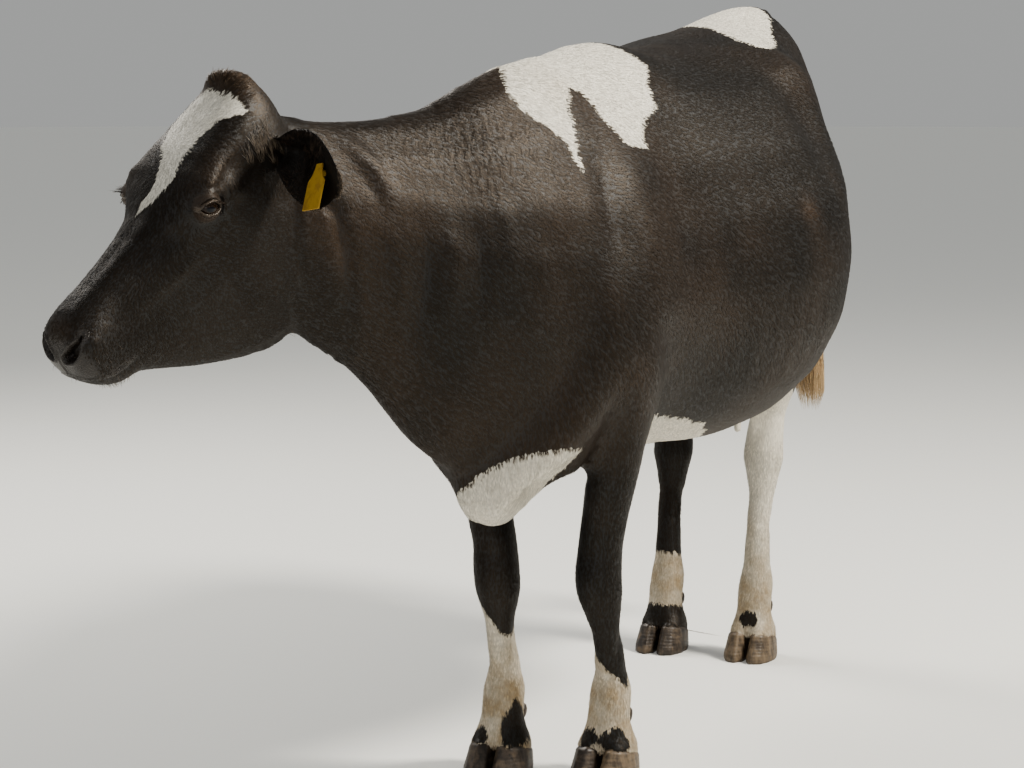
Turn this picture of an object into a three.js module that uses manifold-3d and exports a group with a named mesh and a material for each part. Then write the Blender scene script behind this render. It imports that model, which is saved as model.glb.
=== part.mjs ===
// A standing black and white dairy cow, life size, as a still museum model.
// Millimetres, +Z up. The body faces -Y and its left side is +X. The head is turned to its right.
// Each mass is lofted from stations along its length and swollen where bone or muscle shows.
// Trunk, neck, head and upper legs are joined into one body of flesh, which thin plane cuts then part.
// What grows from the flesh is cut back from it, so that the pieces meet without overlap.
import * as THREE from "three";
import { mergeVertices } from "three/addons/utils/BufferGeometryUtils.js";
import Module from "manifold-3d";

const wasm = await Module();
wasm.setup();

// ---------------------------------------------------------------- driving dimensions
const WITHERS = 1335; // height of the withers
const TAIL_HEAD = 1424; // height of the tail's root, over the pin bones
const BELLY = 536; // height of the lowest line of the belly
const BRISKET = 492; // height of the brisket's lowest point
const GAP = 0.4; // left between neighbouring pieces
const KNEE = 365; // height of the front knee
const HOCK = 440; // height of the hock
const HOOF = 73; // height of the coronet over the sole
const EYE_RADIUS = 20;

const HEAD_AT = [-250, -1165, 1262]; // the poll
const HEAD_TURN = 26; // degrees to the cow's right
const HEAD_NOD = 40; // degrees that the forehead's line falls from level
const HEAD_TILT = 4; // degrees that the crown leans to the left

// Planes that part the flesh: a normal and how far along it the cut lies.
const HEAD_CUT = { normal: [-0.43, -0.883, -0.193], offset: 808 };
const NECK_CUT = { normal: [0, -0.955, 0.295], offset: 955 };
const MUZZLE_CUT = 400; // from the poll, along the head
const GIRTH_CUT = -260; // behind the shoulder
const LOIN_CUT = 290; // before the hook bones
const ARM = { below: 850, beyond: 125 }; // the upper foreleg: under this height, outside this width
const THIGH = { below: 900, beyond: 62 };

const COLOURS = {
  black: 0x1b1917,
  white: 0xe8e2d2,
  horn: 0x5a5044,
  eye: 0x120d0a,
  tag: 0xd9a520,
  udder: 0xd8b49c,
  switch: 0x6b4526,
};

// ---------------------------------------------------------------- shells
// A ring of points round a centre: half width along side, different half heights above and below.
// A power of 2 gives an ellipse, a higher one a squarer shoulder and a lower one a narrower ridge.
function ring(centre, side, lift, size, count, grow) {
  const points = [];
  for (let i = 0; i < count; i++) {
    const angle = (2 * Math.PI * i) / count;
    const power = 2 / (Math.sin(angle) >= 0 ? size.topPower : size.bottomPower);
    const across = Math.sign(Math.cos(angle)) * Math.abs(Math.cos(angle)) ** power;
    const along = Math.sign(Math.sin(angle)) * Math.abs(Math.sin(angle)) ** power;
    const height = along >= 0 ? size.up : size.down;
    points.push(
      centre
        .clone()
        .addScaledVector(side, across * (size.wide + grow))
        .addScaledVector(lift, along * (height + grow)),
    );
  }
  return points;
}

// Closes a row of rings into one shell, with a point at the middle of each end.
function shell(rings) {
  const count = rings[0].length;
  const middle = (points) =>
    points.reduce((sum, p) => sum.add(p), new THREE.Vector3()).divideScalar(count);
  const ends = [middle(rings[0]), middle(rings[rings.length - 1])];
  const points = [...rings.flat(), ...ends];
  const first = count * rings.length;
  const last = first + 1;
  const index = [];
  for (let r = 0; r + 1 < rings.length; r++)
    for (let i = 0; i < count; i++) {
      const a = r * count + i;
      const b = r * count + ((i + 1) % count);
      index.push(a, b, b + count, a, b + count, a + count);
    }
  for (let i = 0; i < count; i++) {
    const next = (i + 1) % count;
    index.push(first, next, i);
    index.push(last, first - count + i, first - count + next);
  }
  const geometry = new THREE.BufferGeometry().setFromPoints(points);
  geometry.setIndex(index);
  return faceOut(geometry);
}

function faceOut(geometry) {
  const position = geometry.getAttribute("position");
  const index = geometry.index.array;
  const corner = (k) => new THREE.Vector3().fromBufferAttribute(position, index[k]);
  let volume = 0;
  for (let k = 0; k < index.length; k += 3)
    volume += corner(k).dot(corner(k + 1).cross(corner(k + 2)));
  if (volume < 0)
    for (let k = 0; k < index.length; k += 3)
      [index[k + 1], index[k + 2]] = [index[k + 2], index[k + 1]];
  return geometry;
}

// Smooth values between stations. Each station is a row of numbers of the same length.
function between(rows, share) {
  const last = rows.length - 1;
  const place = Math.min(share * last, last - 1e-9);
  const i = Math.floor(place);
  const t = place - i;
  const row = (k) => rows[Math.min(Math.max(k, 0), last)];
  return rows[i].map((_, c) => {
    const [a, b, d, e] = [row(i - 1)[c], row(i)[c], row(i + 1)[c], row(i + 2)[c]];
    const into = (d - a) / 2;
    const out = (e - b) / 2;
    return (
      (2 * t ** 3 - 3 * t ** 2 + 1) * b +
      (t ** 3 - 2 * t ** 2 + t) * into +
      (3 * t ** 2 - 2 * t ** 3) * d +
      (t ** 3 - t ** 2) * out
    );
  });
}

// A swelling or hollow is a smooth push along the surface's normal, the same on the left and right.
function swell(geometry, places) {
  geometry.computeVertexNormals();
  const position = geometry.getAttribute("position");
  const normal = geometry.getAttribute("normal");
  const point = new THREE.Vector3();
  const out = new THREE.Vector3();
  for (let i = 0; i < position.count; i++) {
    point.fromBufferAttribute(position, i);
    out.fromBufferAttribute(normal, i);
    let push = 0;
    const place = [Math.abs(point.x), point.y, point.z];
    for (const { at, reach, by } of places) {
      const far = place.reduce((sum, p, axis) => sum + ((p - at[axis]) / reach[axis]) ** 2, 0);
      push += by * Math.exp(-far);
    }
    point.addScaledVector(out, push);
    position.setXYZ(i, point.x, point.y, point.z);
  }
  geometry.deleteAttribute("normal");
  return geometry;
}

// ---------------------------------------------------------------- solids
function solid(geometry) {
  const bare = geometry.clone();
  bare.deleteAttribute("normal");
  bare.deleteAttribute("uv");
  const merged = mergeVertices(bare, 1e-3);
  return new wasm.Manifold(
    new wasm.Mesh({
      numProp: 3,
      vertProperties: merged.getAttribute("position").array,
      triVerts: new Uint32Array(merged.index.array),
    }),
  );
}

// Keeps the largest body, so that a cut leaves no crumbs.
function whole(made) {
  return made.decompose().sort((a, b) => b.volume() - a.volume())[0];
}

// The share of a solid between two heights, each cut back by half a gap.
function slice(made, low, high) {
  let cut = made;
  if (low !== null) cut = cut.trimByPlane([0, 0, 1], low + GAP / 2);
  if (high !== null) cut = cut.trimByPlane([0, 0, -1], -(high - GAP / 2));
  return whole(cut);
}

// ---------------------------------------------------------------- lofts
const ACROSS = new THREE.Vector3(1, 0, 0);
const BACKWARDS = new THREE.Vector3(0, 1, 0);
const UPWARDS = new THREE.Vector3(0, 0, 1);

// Along the body: rings stand upright across Y. Rows: y, half width, its height, top, bottom, powers.
function lengthwise(rows, steps, count, grow) {
  const rings = [];
  for (let s = 0; s <= steps; s++) {
    const [y, wide, level, top, bottom, topPower, bottomPower] = between(rows, s / steps);
    const size = { wide, up: top - level, down: level - bottom, topPower, bottomPower };
    const centre = new THREE.Vector3(0, y, level);
    rings.push(ring(centre, ACROSS, UPWARDS, size, count, grow));
  }
  return shell(rings);
}

// Down a leg: rings lie level. Rows: z, x, y, half width, half length forward, half length back.
function downwards(rows, steps, count, grow) {
  const rings = [];
  for (let s = 0; s <= steps; s++) {
    const [z, x, y, wide, forward, back] = between(rows, s / steps);
    const size = { wide, up: back, down: forward, topPower: 2, bottomPower: 2.1 };
    rings.push(ring(new THREE.Vector3(x, y, z), ACROSS, BACKWARDS, size, count, grow));
  }
  return shell(rings);
}

// Along a bent line: rings stand square to it. Rows: x, y, z, half width, up, down.
function along(rows, steps, count, grow) {
  const line = new THREE.CatmullRomCurve3(
    rows.map(([x, y, z]) => new THREE.Vector3(x, y, z)),
    false,
    "catmullrom",
  );
  const rings = [];
  for (let s = 0; s <= steps; s++) {
    const share = s / steps;
    const heading = line.getTangent(share);
    const lift = heading.clone().cross(ACROSS).normalize();
    const side = lift.clone().cross(heading).normalize();
    const [wide, up, down] = between(rows.map((row) => row.slice(3)), share);
    const size = { wide, up, down, topPower: 2, bottomPower: 2 };
    rings.push(ring(line.getPoint(share), side, lift, size, count, grow));
  }
  return shell(rings);
}

// ---------------------------------------------------------------- trunk
// Rows as for lengthwise: the first is the brisket's tip and the last the buttocks.
const TRUNK = [
  [-794, 30, 630, 670, 585, 2, 2],
  [-780, 92, 650, 790, 532, 2, 1.8],
  [-738, 158, 710, 960, BRISKET + 12, 2, 1.5],
  [-675, 212, 790, 1150, BRISKET + 2, 1.9, 1.4],
  [-595, 240, 850, 1262, BRISKET + 34, 1.8, 1.4],
  [-505, 254, 880, 1314, 572, 1.65, 1.5],
  [-425, 264, 885, 1330, 592, 1.6, 1.7],
  [-320, 282, 890, WITHERS + 6, 592, 1.65, 1.9],
  [-215, 312, 895, WITHERS + 8, 576, 1.75, 2.1],
  [-70, 358, 905, 1326, 550, 1.85, 2.2],
  [90, 388, 910, 1338, BELLY, 1.95, 2.1],
  [210, 378, 915, 1350, 548, 2.15, 2.1],
  [300, 340, 925, 1364, 582, 2.4, 2.1],
  [400, 286, 935, 1376, 640, 2.4, 2.1],
  [500, 252, 945, 1396, 690, 2.3, 2.1],
  [600, 232, 955, 1418, 722, 2.1, 2],
  [680, 206, 975, TAIL_HEAD, 765, 1.9, 1.9],
  [748, 168, 1010, 1404, 830, 1.8, 1.9],
  [795, 116, 1070, 1350, 925, 1.9, 1.9],
  [815, 42, 1110, 1230, 1030, 2, 2],
];
const TRUNK_FORMS = [
  { at: [235, -700, 880], reach: [60, 70, 80], by: 16 }, // point of the shoulder
  { at: [230, -560, 1000], reach: [90, 90, 190], by: 12 }, // shoulder blade
  { at: [66, -655, 540], reach: [40, 90, 50], by: -26 }, // beside the brisket's keel
  { at: [112, -585, 585], reach: [36, 60, 50], by: 30 }, // fold from the brisket to the arm
  { at: [262, 292, 1272], reach: [60, 62, 56], by: 28 }, // hook bone
  { at: [112, 778, 1235], reach: [45, 45, 50], by: 16 }, // pin bone
  { at: [285, 195, 1180], reach: [75, 85, 80], by: -26 }, // hollow of the flank
  { at: [240, 480, 880], reach: [80, 120, 120], by: 14 }, // thigh
  { at: [205, 560, 1240], reach: [60, 120, 50], by: -14 }, // fall of the rump
];
const trunkShell = (grow) => solid(swell(lengthwise(TRUNK, 27, 20, grow), TRUNK_FORMS));

// ---------------------------------------------------------------- legs
// The hoof's middle stands at foot; the knee or hock leads it.
const FORE = (side, knee, foot) => [
  [1000, side * 160, -590, 40, 70, 80],
  [910, side * 180, -598, 62, 110, 115],
  [800, side * 180, -576, 68, 112, 132],
  [715, side * 168, -546, 63, 84, 118],
  [640, side * 150, -522, 56, 66, 80],
  [550, (side * 160 + knee[0]) / 2, -510, 49, 54, 58],
  [470, knee[0] + side * 9, knee[1] - 2, 43, 46, 48],
  [415, knee[0] * 1.02, knee[1] - 2, 44, 48, 46],
  [KNEE, knee[0], knee[1], 45, 49, 45],
  [325, knee[0] + 2, knee[1] + 4, 36, 41, 39],
  [285, (knee[0] * 2 + foot[0]) / 3, knee[1] + 14, 26, 30, 32],
  [245, (knee[0] + foot[0]) / 2, (knee[1] + foot[1]) / 2, 24, 27, 31],
  [200, foot[0], foot[1] + 5, 26, 27, 32],
  [165, foot[0], foot[1] + 6, 36, 34, 46],
  [138, foot[0], foot[1] + 2, 39, 36, 50],
  [112, foot[0], foot[1], 40, 38, 37],
  [HOOF, foot[0], foot[1] - 2, 52, 49, 45],
  [HOOF - 18, foot[0], foot[1] - 2, 46, 43, 39],
];
const HIND = (side, hock, foot) => [
  [1190, side * 110, 560, 40, 100, 100],
  [1070, side * 140, 555, 66, 165, 165],
  [930, side * 158, 548, 82, 185, 185],
  [820, side * 148, 545, 72, 155, 165],
  [720, side * 132, 562, 58, 112, 122],
  [640, side * 120, 584, 50, 82, 88],
  [565, (side * 114 + hock[0]) / 2, 598, 44, 62, 64],
  [505, hock[0], hock[1] - 34, 42, 53, 54],
  [HOCK + 12, hock[0], hock[1] - 44, 46, 51, 47],
  [HOCK - 28, hock[0], hock[1] - 48, 44, 47, 38],
  [365, hock[0], hock[1] - 57, 31, 36, 32],
  [300, (hock[0] + foot[0]) / 2, (hock[1] - 60 + foot[1] + 12) / 2, 26, 29, 31],
  [225, foot[0], foot[1] + 16, 27, 28, 33],
  [172, foot[0], foot[1] + 14, 36, 33, 44],
  [142, foot[0], foot[1] + 6, 38, 35, 50],
  [112, foot[0], foot[1] + 2, 38, 37, 36],
  [HOOF, foot[0], foot[1] - 2, 47, 47, 44],
  [HOOF - 18, foot[0], foot[1] - 2, 42, 41, 38],
];
// Where each leg is parted: under the trunk, over the knee or hock, and over the fetlock.
const FORE_CUTS = [620, KNEE + 60, 192];
const HIND_CUTS = [730, HOCK + 75, 200];
const LEGS = {
  fore_left: { rows: FORE(1, [107, -500], [109, -448]), cuts: FORE_CUTS, claw: 57 },
  fore_right: { rows: FORE(-1, [-80, -527], [-82, -498]), cuts: FORE_CUTS, claw: 57 },
  hind_left: { rows: HIND(1, [76, 642], [78, 530]), cuts: HIND_CUTS, claw: 51 },
  hind_right: { rows: HIND(-1, [-136, 648], [-128, 530]), cuts: HIND_CUTS, claw: 51 },
};
const legShell = ({ rows }, grow) => solid(downwards(rows, 18, 10, grow));

// ---------------------------------------------------------------- neck
// Rings stand between the crest of the neck and its underline.
// Rows: crest x, y, z, underline x, y, z, half width, and the widest place as a share of the height.
const NECK = [
  [0, -455, 1318, 0, -740, 570, 236, 0.5],
  [-6, -605, 1313, -45, -790, 600, 206, 0.5],
  [-34, -735, 1281, -78, -846, 640, 168, 0.52],
  [-70, -831, 1238, -102, -895, 692, 137, 0.54],
  [-107, -908, 1220, -126, -945, 753, 117, 0.56],
  [-150, -990, 1214, -154, -998, 806, 103, 0.56],
  [-190, -1062, 1218, -182, -1048, 843, 93, 0.54],
  [-224, -1120, 1226, -212, -1095, 880, 79, 0.52],
];
function neckShell(grow) {
  const steps = 9;
  const rings = [];
  for (let s = 0; s <= steps; s++) {
    const row = between(NECK, s / steps);
    const next = between(NECK, Math.min(1, s / steps + 0.02));
    const before = between(NECK, Math.max(0, s / steps - 0.02));
    const crest = new THREE.Vector3(row[0], row[1], row[2]);
    const under = new THREE.Vector3(row[3], row[4], row[5]);
    const heading = new THREE.Vector3(next[0] - before[0], next[1] - before[1], 0).normalize();
    const side = UPWARDS.clone().cross(heading).normalize();
    const lift = crest.clone().sub(under);
    const tall = lift.length();
    lift.normalize();
    const centre = under.clone().addScaledVector(lift, tall * row[7]);
    const size = {
      wide: row[6],
      up: tall * (1 - row[7]),
      down: tall * row[7],
      topPower: 1.55,
      bottomPower: 1.7,
    };
    rings.push(ring(centre, side, lift, size, 16, grow));
  }
  return solid(shell(rings));
}

// ---------------------------------------------------------------- head
// In the head's own frame the poll is the origin, the nose points along -Y and the forehead faces +Z.
const HEAD = [
  [30, 20, -45, -12, -85, 2, 2],
  [14, 50, -52, 20, -155, 2.1, 2],
  [-8, 70, -60, 32, -225, 2.2, 2.1],
  [-48, 84, -62, 22, -290, 2.8, 2.3],
  [-100, 92, -60, 12, -348, 3.3, 2.3],
  [-155, 97, -54, 6, -374, 3.2, 2.1],
  [-205, 95, -56, -7, -375, 2.8, 2],
  [-262, 76, -78, -28, -350, 2.1, 2.1],
  [-320, 65, -94, -38, -311, 2, 2.2],
  [-380, 60, -102, -43, -251, 2.1, 2.2],
  [-432, 61, -108, -46, -203, 2.3, 2.3],
  [-468, 63, -110, -52, -186, 2.4, 2.4],
  [-492, 59, -113, -70, -170, 2.4, 2.3],
  [-506, 45, -119, -91, -148, 2.2, 2.2],
  [-511, 21, -121, -108, -134, 2, 2],
];
const HEAD_FORMS = [
  { at: [97, -184, -28], reach: [32, 38, 24], by: 9 }, // orbit
  { at: [84, -118, -50], reach: [34, 30, 26], by: -6 }, // hollow of the temple
  { at: [74, -285, -100], reach: [26, 46, 20], by: 6 }, // facial crest
  { at: [80, -150, -225], reach: [40, 62, 66], by: 8 }, // chewing muscle
  { at: [66, -350, -155], reach: [30, 50, 34], by: -5 }, // hollow of the cheek
  { at: [54, -470, -92], reach: [22, 20, 18], by: 6 }, // wing of the nostril
  { at: [0, -452, -192], reach: [40, 30, 24], by: 5 }, // chin
  { at: [0, -280, -310], reach: [26, 90, 60], by: -12 }, // between the jaws
];
const EYE = [91, -206, -52]; // the middle of the left eyeball
const headShell = (grow) => solid(swell(lengthwise(HEAD, 20, 18, grow), HEAD_FORMS));
const headTurn = new THREE.Matrix4().compose(
  new THREE.Vector3(...HEAD_AT),
  new THREE.Quaternion().setFromEuler(
    new THREE.Euler(
      THREE.MathUtils.degToRad(HEAD_NOD),
      THREE.MathUtils.degToRad(HEAD_TILT),
      THREE.MathUtils.degToRad(-HEAD_TURN),
      "ZXY",
    ),
  ),
  new THREE.Vector3(1, 1, 1),
);
const onHead = (made) => made.transform(headTurn.toArray());
const eyeball = (side, grow) =>
  onHead(
    solid(
      new THREE.SphereGeometry(EYE_RADIUS + grow, 11, 7).translate(side * EYE[0], EYE[1], EYE[2]),
    ),
  );

// ---------------------------------------------------------------- ears
// A cupped leaf from the ear's root out to its tip. Rows: share of the length, half width, cup depth.
const EAR = { length: 182, thick: 9 };
const EAR_ROWS = [
  [0, 22, 15],
  [0.12, 30, 22],
  [0.3, 47, 21],
  [0.5, 59, 15],
  [0.7, 63, 10],
  [0.86, 58, 7],
  [0.96, 43, 4],
  [1, 20, 2],
];
const EAR_PLACE = {
  left: { side: 1, at: [69, -43, -80], turn: [-33, 6, -14] },
  right: { side: -1, at: [-64, -44, -76], turn: [-36, -10, -48] },
};
// The leaf's outer face is convex and the inner one follows it a thickness away.
function earShell(side) {
  const rings = [];
  const halves = 4;
  for (let s = 0; s <= 8; s++) {
    const [share, wide, cup] = between(EAR_ROWS, s / 8);
    const outer = [];
    const inner = [];
    for (let i = 0; i <= halves; i++) {
      const across = -1 + (2 * i) / halves;
      const bow = cup * (1 - across ** 2) * 2;
      const thin = EAR.thick * (1 - 0.55 * across ** 2) * (1 - 0.5 * share);
      const point = (depth) =>
        new THREE.Vector3(side * share * EAR.length, depth + 18 * share, across * wide);
      outer.push(point(bow));
      inner.push(point(bow - thin));
    }
    rings.push([...outer, ...inner.reverse()]);
  }
  return shell(rings);
}
function earTurn({ at, turn }) {
  const [x, y, z] = turn.map(THREE.MathUtils.degToRad);
  return new THREE.Matrix4().compose(
    new THREE.Vector3(...at),
    new THREE.Quaternion().setFromEuler(new THREE.Euler(x, y, z)),
    new THREE.Vector3(1, 1, 1),
  );
}
const earSolid = (place) => onHead(solid(earShell(place.side).applyMatrix4(earTurn(place))));

// ---------------------------------------------------------------- udder, tail
// Rows as for lengthwise. A sloping plane takes off what would stand in the trunk.
const UDDER = [
  [360, 40, 690, 720, 640, 2, 2],
  [390, 95, 670, 730, 590, 2, 2.2],
  [450, 128, 660, 740, 545, 2, 2.4],
  [520, 135, 665, 750, 535, 2, 2.4],
  [590, 120, 690, 780, 560, 2, 2.3],
  [640, 85, 730, 810, 620, 2, 2.1],
  [665, 35, 770, 800, 720, 2, 2],
];
const UDDER_ROOF = { normal: [0, 0.47, -0.88], offset: -358 };
const TEAT = { radius: 13, length: 52 };
function udderSolid() {
  let made = solid(lengthwise(UDDER, 9, 12, 0));
  for (const x of [-62, 62])
    for (const [y, z] of [[445, 552], [548, 548]]) {
      const teat = new THREE.CapsuleGeometry(TEAT.radius, TEAT.length, 2, 6);
      teat.rotateX(Math.PI / 2).translate(x, y, z - TEAT.length / 3);
      made = made.add(solid(teat));
    }
  return made.trimByPlane(UDDER_ROOF.normal, UDDER_ROOF.offset);
}

const TAIL = [
  [0, 650, 1392, 38, 22, 26],
  [0, 728, 1408, 34, 22, 26],
  [1, 795, 1384, 29, 21, 24],
  [4, 836, 1320, 24, 19, 20],
  [10, 852, 1210, 20, 17, 17],
  [24, 854, 1080, 17, 15, 15],
  [46, 848, 950, 15, 14, 14],
  [68, 838, 830, 14, 13, 13],
];
const SWITCH = [
  [68, 838, 828, 16, 15, 15],
  [80, 832, 768, 30, 26, 26],
  [92, 827, 708, 41, 34, 34],
  [103, 822, 645, 46, 37, 37],
  [112, 818, 585, 36, 29, 29],
  [119, 815, 535, 17, 14, 14],
  [121, 814, 508, 4, 4, 4],
];
const tailShell = (grow) => solid(along(TAIL, 13, 7, grow));

// ---------------------------------------------------------------- claws
// One claw: flat sole, straight inner face towards its twin, toe forward, wall sloping to the coronet.
const CLAW = { long: 122, apart: 3 };
// Rows: height, size against the sole's, how far back.
const CLAW_LEVELS = [
  [0, 1, -16],
  [10, 1.02, -15],
  [38, 0.9, -6],
  [HOOF + 2, 0.75, 4],
];
function clawSolid(x, y, out, wide) {
  const sole = new THREE.Shape();
  const inner = CLAW.apart;
  const outer = CLAW.apart + wide;
  sole.moveTo(inner, 0.42 * CLAW.long);
  sole.lineTo(inner, -0.3 * CLAW.long);
  sole.quadraticCurveTo(inner + 2, -0.56 * CLAW.long, inner + 0.42 * wide, -0.58 * CLAW.long);
  sole.quadraticCurveTo(outer, -0.4 * CLAW.long, outer, -0.05 * CLAW.long);
  sole.quadraticCurveTo(outer, 0.42 * CLAW.long, inner + 0.45 * wide, 0.44 * CLAW.long);
  sole.closePath();
  const count = 12;
  const outline = sole.getSpacedPoints(count).slice(0, count);
  const fixed = inner + 0.35 * wide; // the line that the levels shrink towards
  const rings = CLAW_LEVELS.map(([z, scale, back]) =>
    outline.map((p) => {
      const across = fixed + (p.x - fixed) * scale;
      return new THREE.Vector3(x + out * across, y + p.y * scale + back, z);
    }),
  );
  return solid(shell(rings));
}
// The two small claws behind the fetlock, from the foot's middle.
const DEWCLAW = { radius: 11, straight: 12, apart: 19, behind: 45, height: 103 };
function dewclawSolid(x, y, out) {
  const geometry = new THREE.CapsuleGeometry(DEWCLAW.radius, DEWCLAW.straight, 2, 7);
  geometry.rotateX(Math.PI / 2 - 0.5);
  geometry.translate(x + out * DEWCLAW.apart, y + DEWCLAW.behind, DEWCLAW.height);
  return solid(geometry);
}

// ---------------------------------------------------------------- ear tag
// The flag hangs inside the cup of the left ear. Its stem goes through the ear to a button behind.
const TAG = { wide: 46, high: 62, shoulder: 16, neck: 12, thick: 2.4, stem: 5, through: 24, button: 13 };
const TAG_AT = [121, 24, -12]; // along, out of and across the ear
function tagSolid(grow) {
  const [w, h] = [TAG.wide / 2 + grow, TAG.high + grow];
  const outline = new THREE.Shape();
  const top = TAG.neck + grow;
  outline.moveTo(-w * 0.35, top);
  outline.lineTo(w * 0.35, top);
  outline.quadraticCurveTo(w * 0.45, -6, w, -TAG.shoulder);
  outline.lineTo(w, -h);
  outline.lineTo(-w, -h);
  outline.lineTo(-w, -TAG.shoulder);
  outline.quadraticCurveTo(-w * 0.45, -6, -w * 0.35, top);
  const flag = new THREE.ExtrudeGeometry(outline, {
    depth: TAG.thick + 2 * grow,
    bevelEnabled: false,
    curveSegments: 4,
  });
  flag.translate(0, 0, -grow);
  const pin = (radius, length, sides, z) =>
    new THREE.CylinderGeometry(radius + grow, radius + grow, length + 2 * grow, sides)
      .rotateX(Math.PI / 2)
      .translate(0, 0, z);
  const stem = pin(TAG.stem, TAG.through + 2, 8, -TAG.through / 2);
  const button = pin(TAG.button, 3, 12, -TAG.through);
  const place = earTurn(EAR_PLACE.left)
    .multiply(new THREE.Matrix4().makeTranslation(...TAG_AT))
    .multiply(new THREE.Matrix4().makeRotationX(1.15))
    .multiply(new THREE.Matrix4().makeRotationZ(0.35));
  const made = [flag, stem, button].map((geometry) => solid(geometry.applyMatrix4(place)));
  return onHead(made[0].add(made[1]).add(made[2]));
}

// ---------------------------------------------------------------- assembly
const pieces = {};

// The two sides of a plane cut, the one that the normal points to first.
function part(made, normal, offset) {
  const n = new THREE.Vector3(...normal).normalize();
  const front = made.trimByPlane(n.toArray(), offset + GAP / 2);
  const rest = made.trimByPlane(n.clone().negate().toArray(), -(offset - GAP / 2));
  return [whole(front), whole(rest)];
}

// The two limbs of a body, below a height and beyond a width, and what is left of it.
function partLimbs(made, { below, beyond }) {
  const limbs = [1, -1].map((side) =>
    whole(made.trimByPlane([0, 0, -1], -(below - GAP)).trimByPlane([side, 0, 0], beyond + GAP)),
  );
  const above = made.trimByPlane([0, 0, 1], below);
  const middle = made.trimByPlane([1, 0, 0], -beyond).trimByPlane([-1, 0, 0], -beyond);
  return [...limbs, whole(above.add(middle))];
}

// The flesh, with its sockets, and the same without legs, a gap larger all round.
let flesh = trunkShell(0).add(neckShell(0)).add(onHead(headShell(0)));
const fleshAround = trunkShell(GAP).add(neckShell(GAP)).add(onHead(headShell(GAP)));
for (const leg of Object.values(LEGS))
  flesh = flesh.add(legShell(leg, 0).trimByPlane([0, 0, 1], leg.cuts[0]));
for (const side of [1, -1]) flesh = flesh.subtract(eyeball(side, GAP));

const [fullHead, behind] = part(flesh, HEAD_CUT.normal, HEAD_CUT.offset);
const forward = new THREE.Vector3(0, -1, 0).transformDirection(headTurn);
const muzzleAt = forward.dot(new THREE.Vector3(0, -MUZZLE_CUT, 0).applyMatrix4(headTurn));
[pieces.muzzle, pieces.head] = part(fullHead, forward.toArray(), muzzleAt);
const [neck, body] = part(behind, NECK_CUT.normal, NECK_CUT.offset);
pieces.neck = neck;
const [rear, fore] = part(body, [0, 1, 0], GIRTH_CUT);
const [rump, barrel] = part(rear, [0, 1, 0], LOIN_CUT);
pieces.barrel = barrel;
[pieces.fore_left_arm, pieces.fore_right_arm, pieces.chest] = partLimbs(fore, ARM);
[pieces.hind_left_thigh, pieces.hind_right_thigh, pieces.rump] = partLimbs(rump, THIGH);

for (const [name, leg] of Object.entries(LEGS)) {
  const [x, y] = leg.rows[leg.rows.length - 1].slice(1, 3);
  const legAround = legShell(leg, GAP);
  const sides = { outer: Math.sign(x), inner: -Math.sign(x) };
  for (const [which, out] of Object.entries(sides)) {
    pieces[`claw_${name}_${which}`] = clawSolid(x, y, out, leg.claw);
    pieces[`dewclaw_${name}_${which}`] = whole(dewclawSolid(x, y, out).subtract(legAround));
  }
  // The flesh of the lower leg stops a little over the claws.
  const [top, joint, fetlock] = leg.cuts;
  const lower = slice(legShell(leg, 0), HOOF + 2 + GAP, top - GAP / 2).subtract(fleshAround);
  const [long, bend] = name.startsWith("hind") ? ["gaskin", "hock"] : ["forearm", "knee"];
  pieces[`${name}_${long}`] = slice(lower, joint, null);
  pieces[`${name}_${bend}`] = slice(lower, fetlock, joint);
  pieces[`${name}_pastern`] = slice(lower, null, fetlock);
}

let udder = udderSolid().subtract(trunkShell(GAP));
for (const leg of Object.values(LEGS)) udder = udder.subtract(legShell(leg, GAP));
pieces.udder = whole(udder);

for (const [name, place] of Object.entries(EAR_PLACE)) {
  pieces[`eye_${name}`] = eyeball(place.side, 0);
  const ear = earSolid(place).subtract(fleshAround);
  pieces[`ear_${name}`] = whole(name === "left" ? ear.subtract(tagSolid(GAP)) : ear);
}
pieces.ear_tag = tagSolid(0);

pieces.tail = whole(tailShell(0).subtract(trunkShell(GAP)));
pieces.tail_switch = whole(solid(along(SWITCH, 9, 7, 0)).subtract(tailShell(GAP)));

// ---------------------------------------------------------------- the group
const colourOf = (name) => {
  if (name.includes("claw")) return COLOURS.horn;
  if (name.startsWith("eye_")) return COLOURS.eye;
  if (name === "ear_tag") return COLOURS.tag;
  if (name === "udder") return COLOURS.udder;
  if (name === "tail_switch") return COLOURS.switch;
  if (name.endsWith("pastern")) return COLOURS.white;
  return COLOURS.black;
};

function meshOf(name, made) {
  const { vertProperties, triVerts, numProp } = made.getMesh();
  const position = new THREE.BufferAttribute(vertProperties.slice(), numProp);
  const geometry = new THREE.BufferGeometry().setAttribute("position", position);
  geometry.setIndex(new THREE.BufferAttribute(triVerts.slice(), 1));
  geometry.computeVertexNormals();
  const material = new THREE.MeshStandardMaterial({
    color: colourOf(name),
    roughness: name.startsWith("eye_") ? 0.1 : 0.75,
    metalness: 0,
  });
  const mesh = new THREE.Mesh(geometry, material);
  mesh.name = name;
  return mesh;
}

// The origin is under the middle of the model's box, on the floor.
const cow = new THREE.Group();
for (const [name, made] of Object.entries(pieces)) cow.add(meshOf(name, made));
const box = new THREE.Box3().setFromObject(cow);
const middle = box.getCenter(new THREE.Vector3());
cow.position.set(-middle.x, -middle.y, -box.min.z);

export default cow;
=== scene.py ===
import math
from contextlib import contextmanager
import bmesh
import bpy
import numpy as np
from mathutils import Euler, Matrix, Vector
from mathutils.bvhtree import BVHTree


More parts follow.
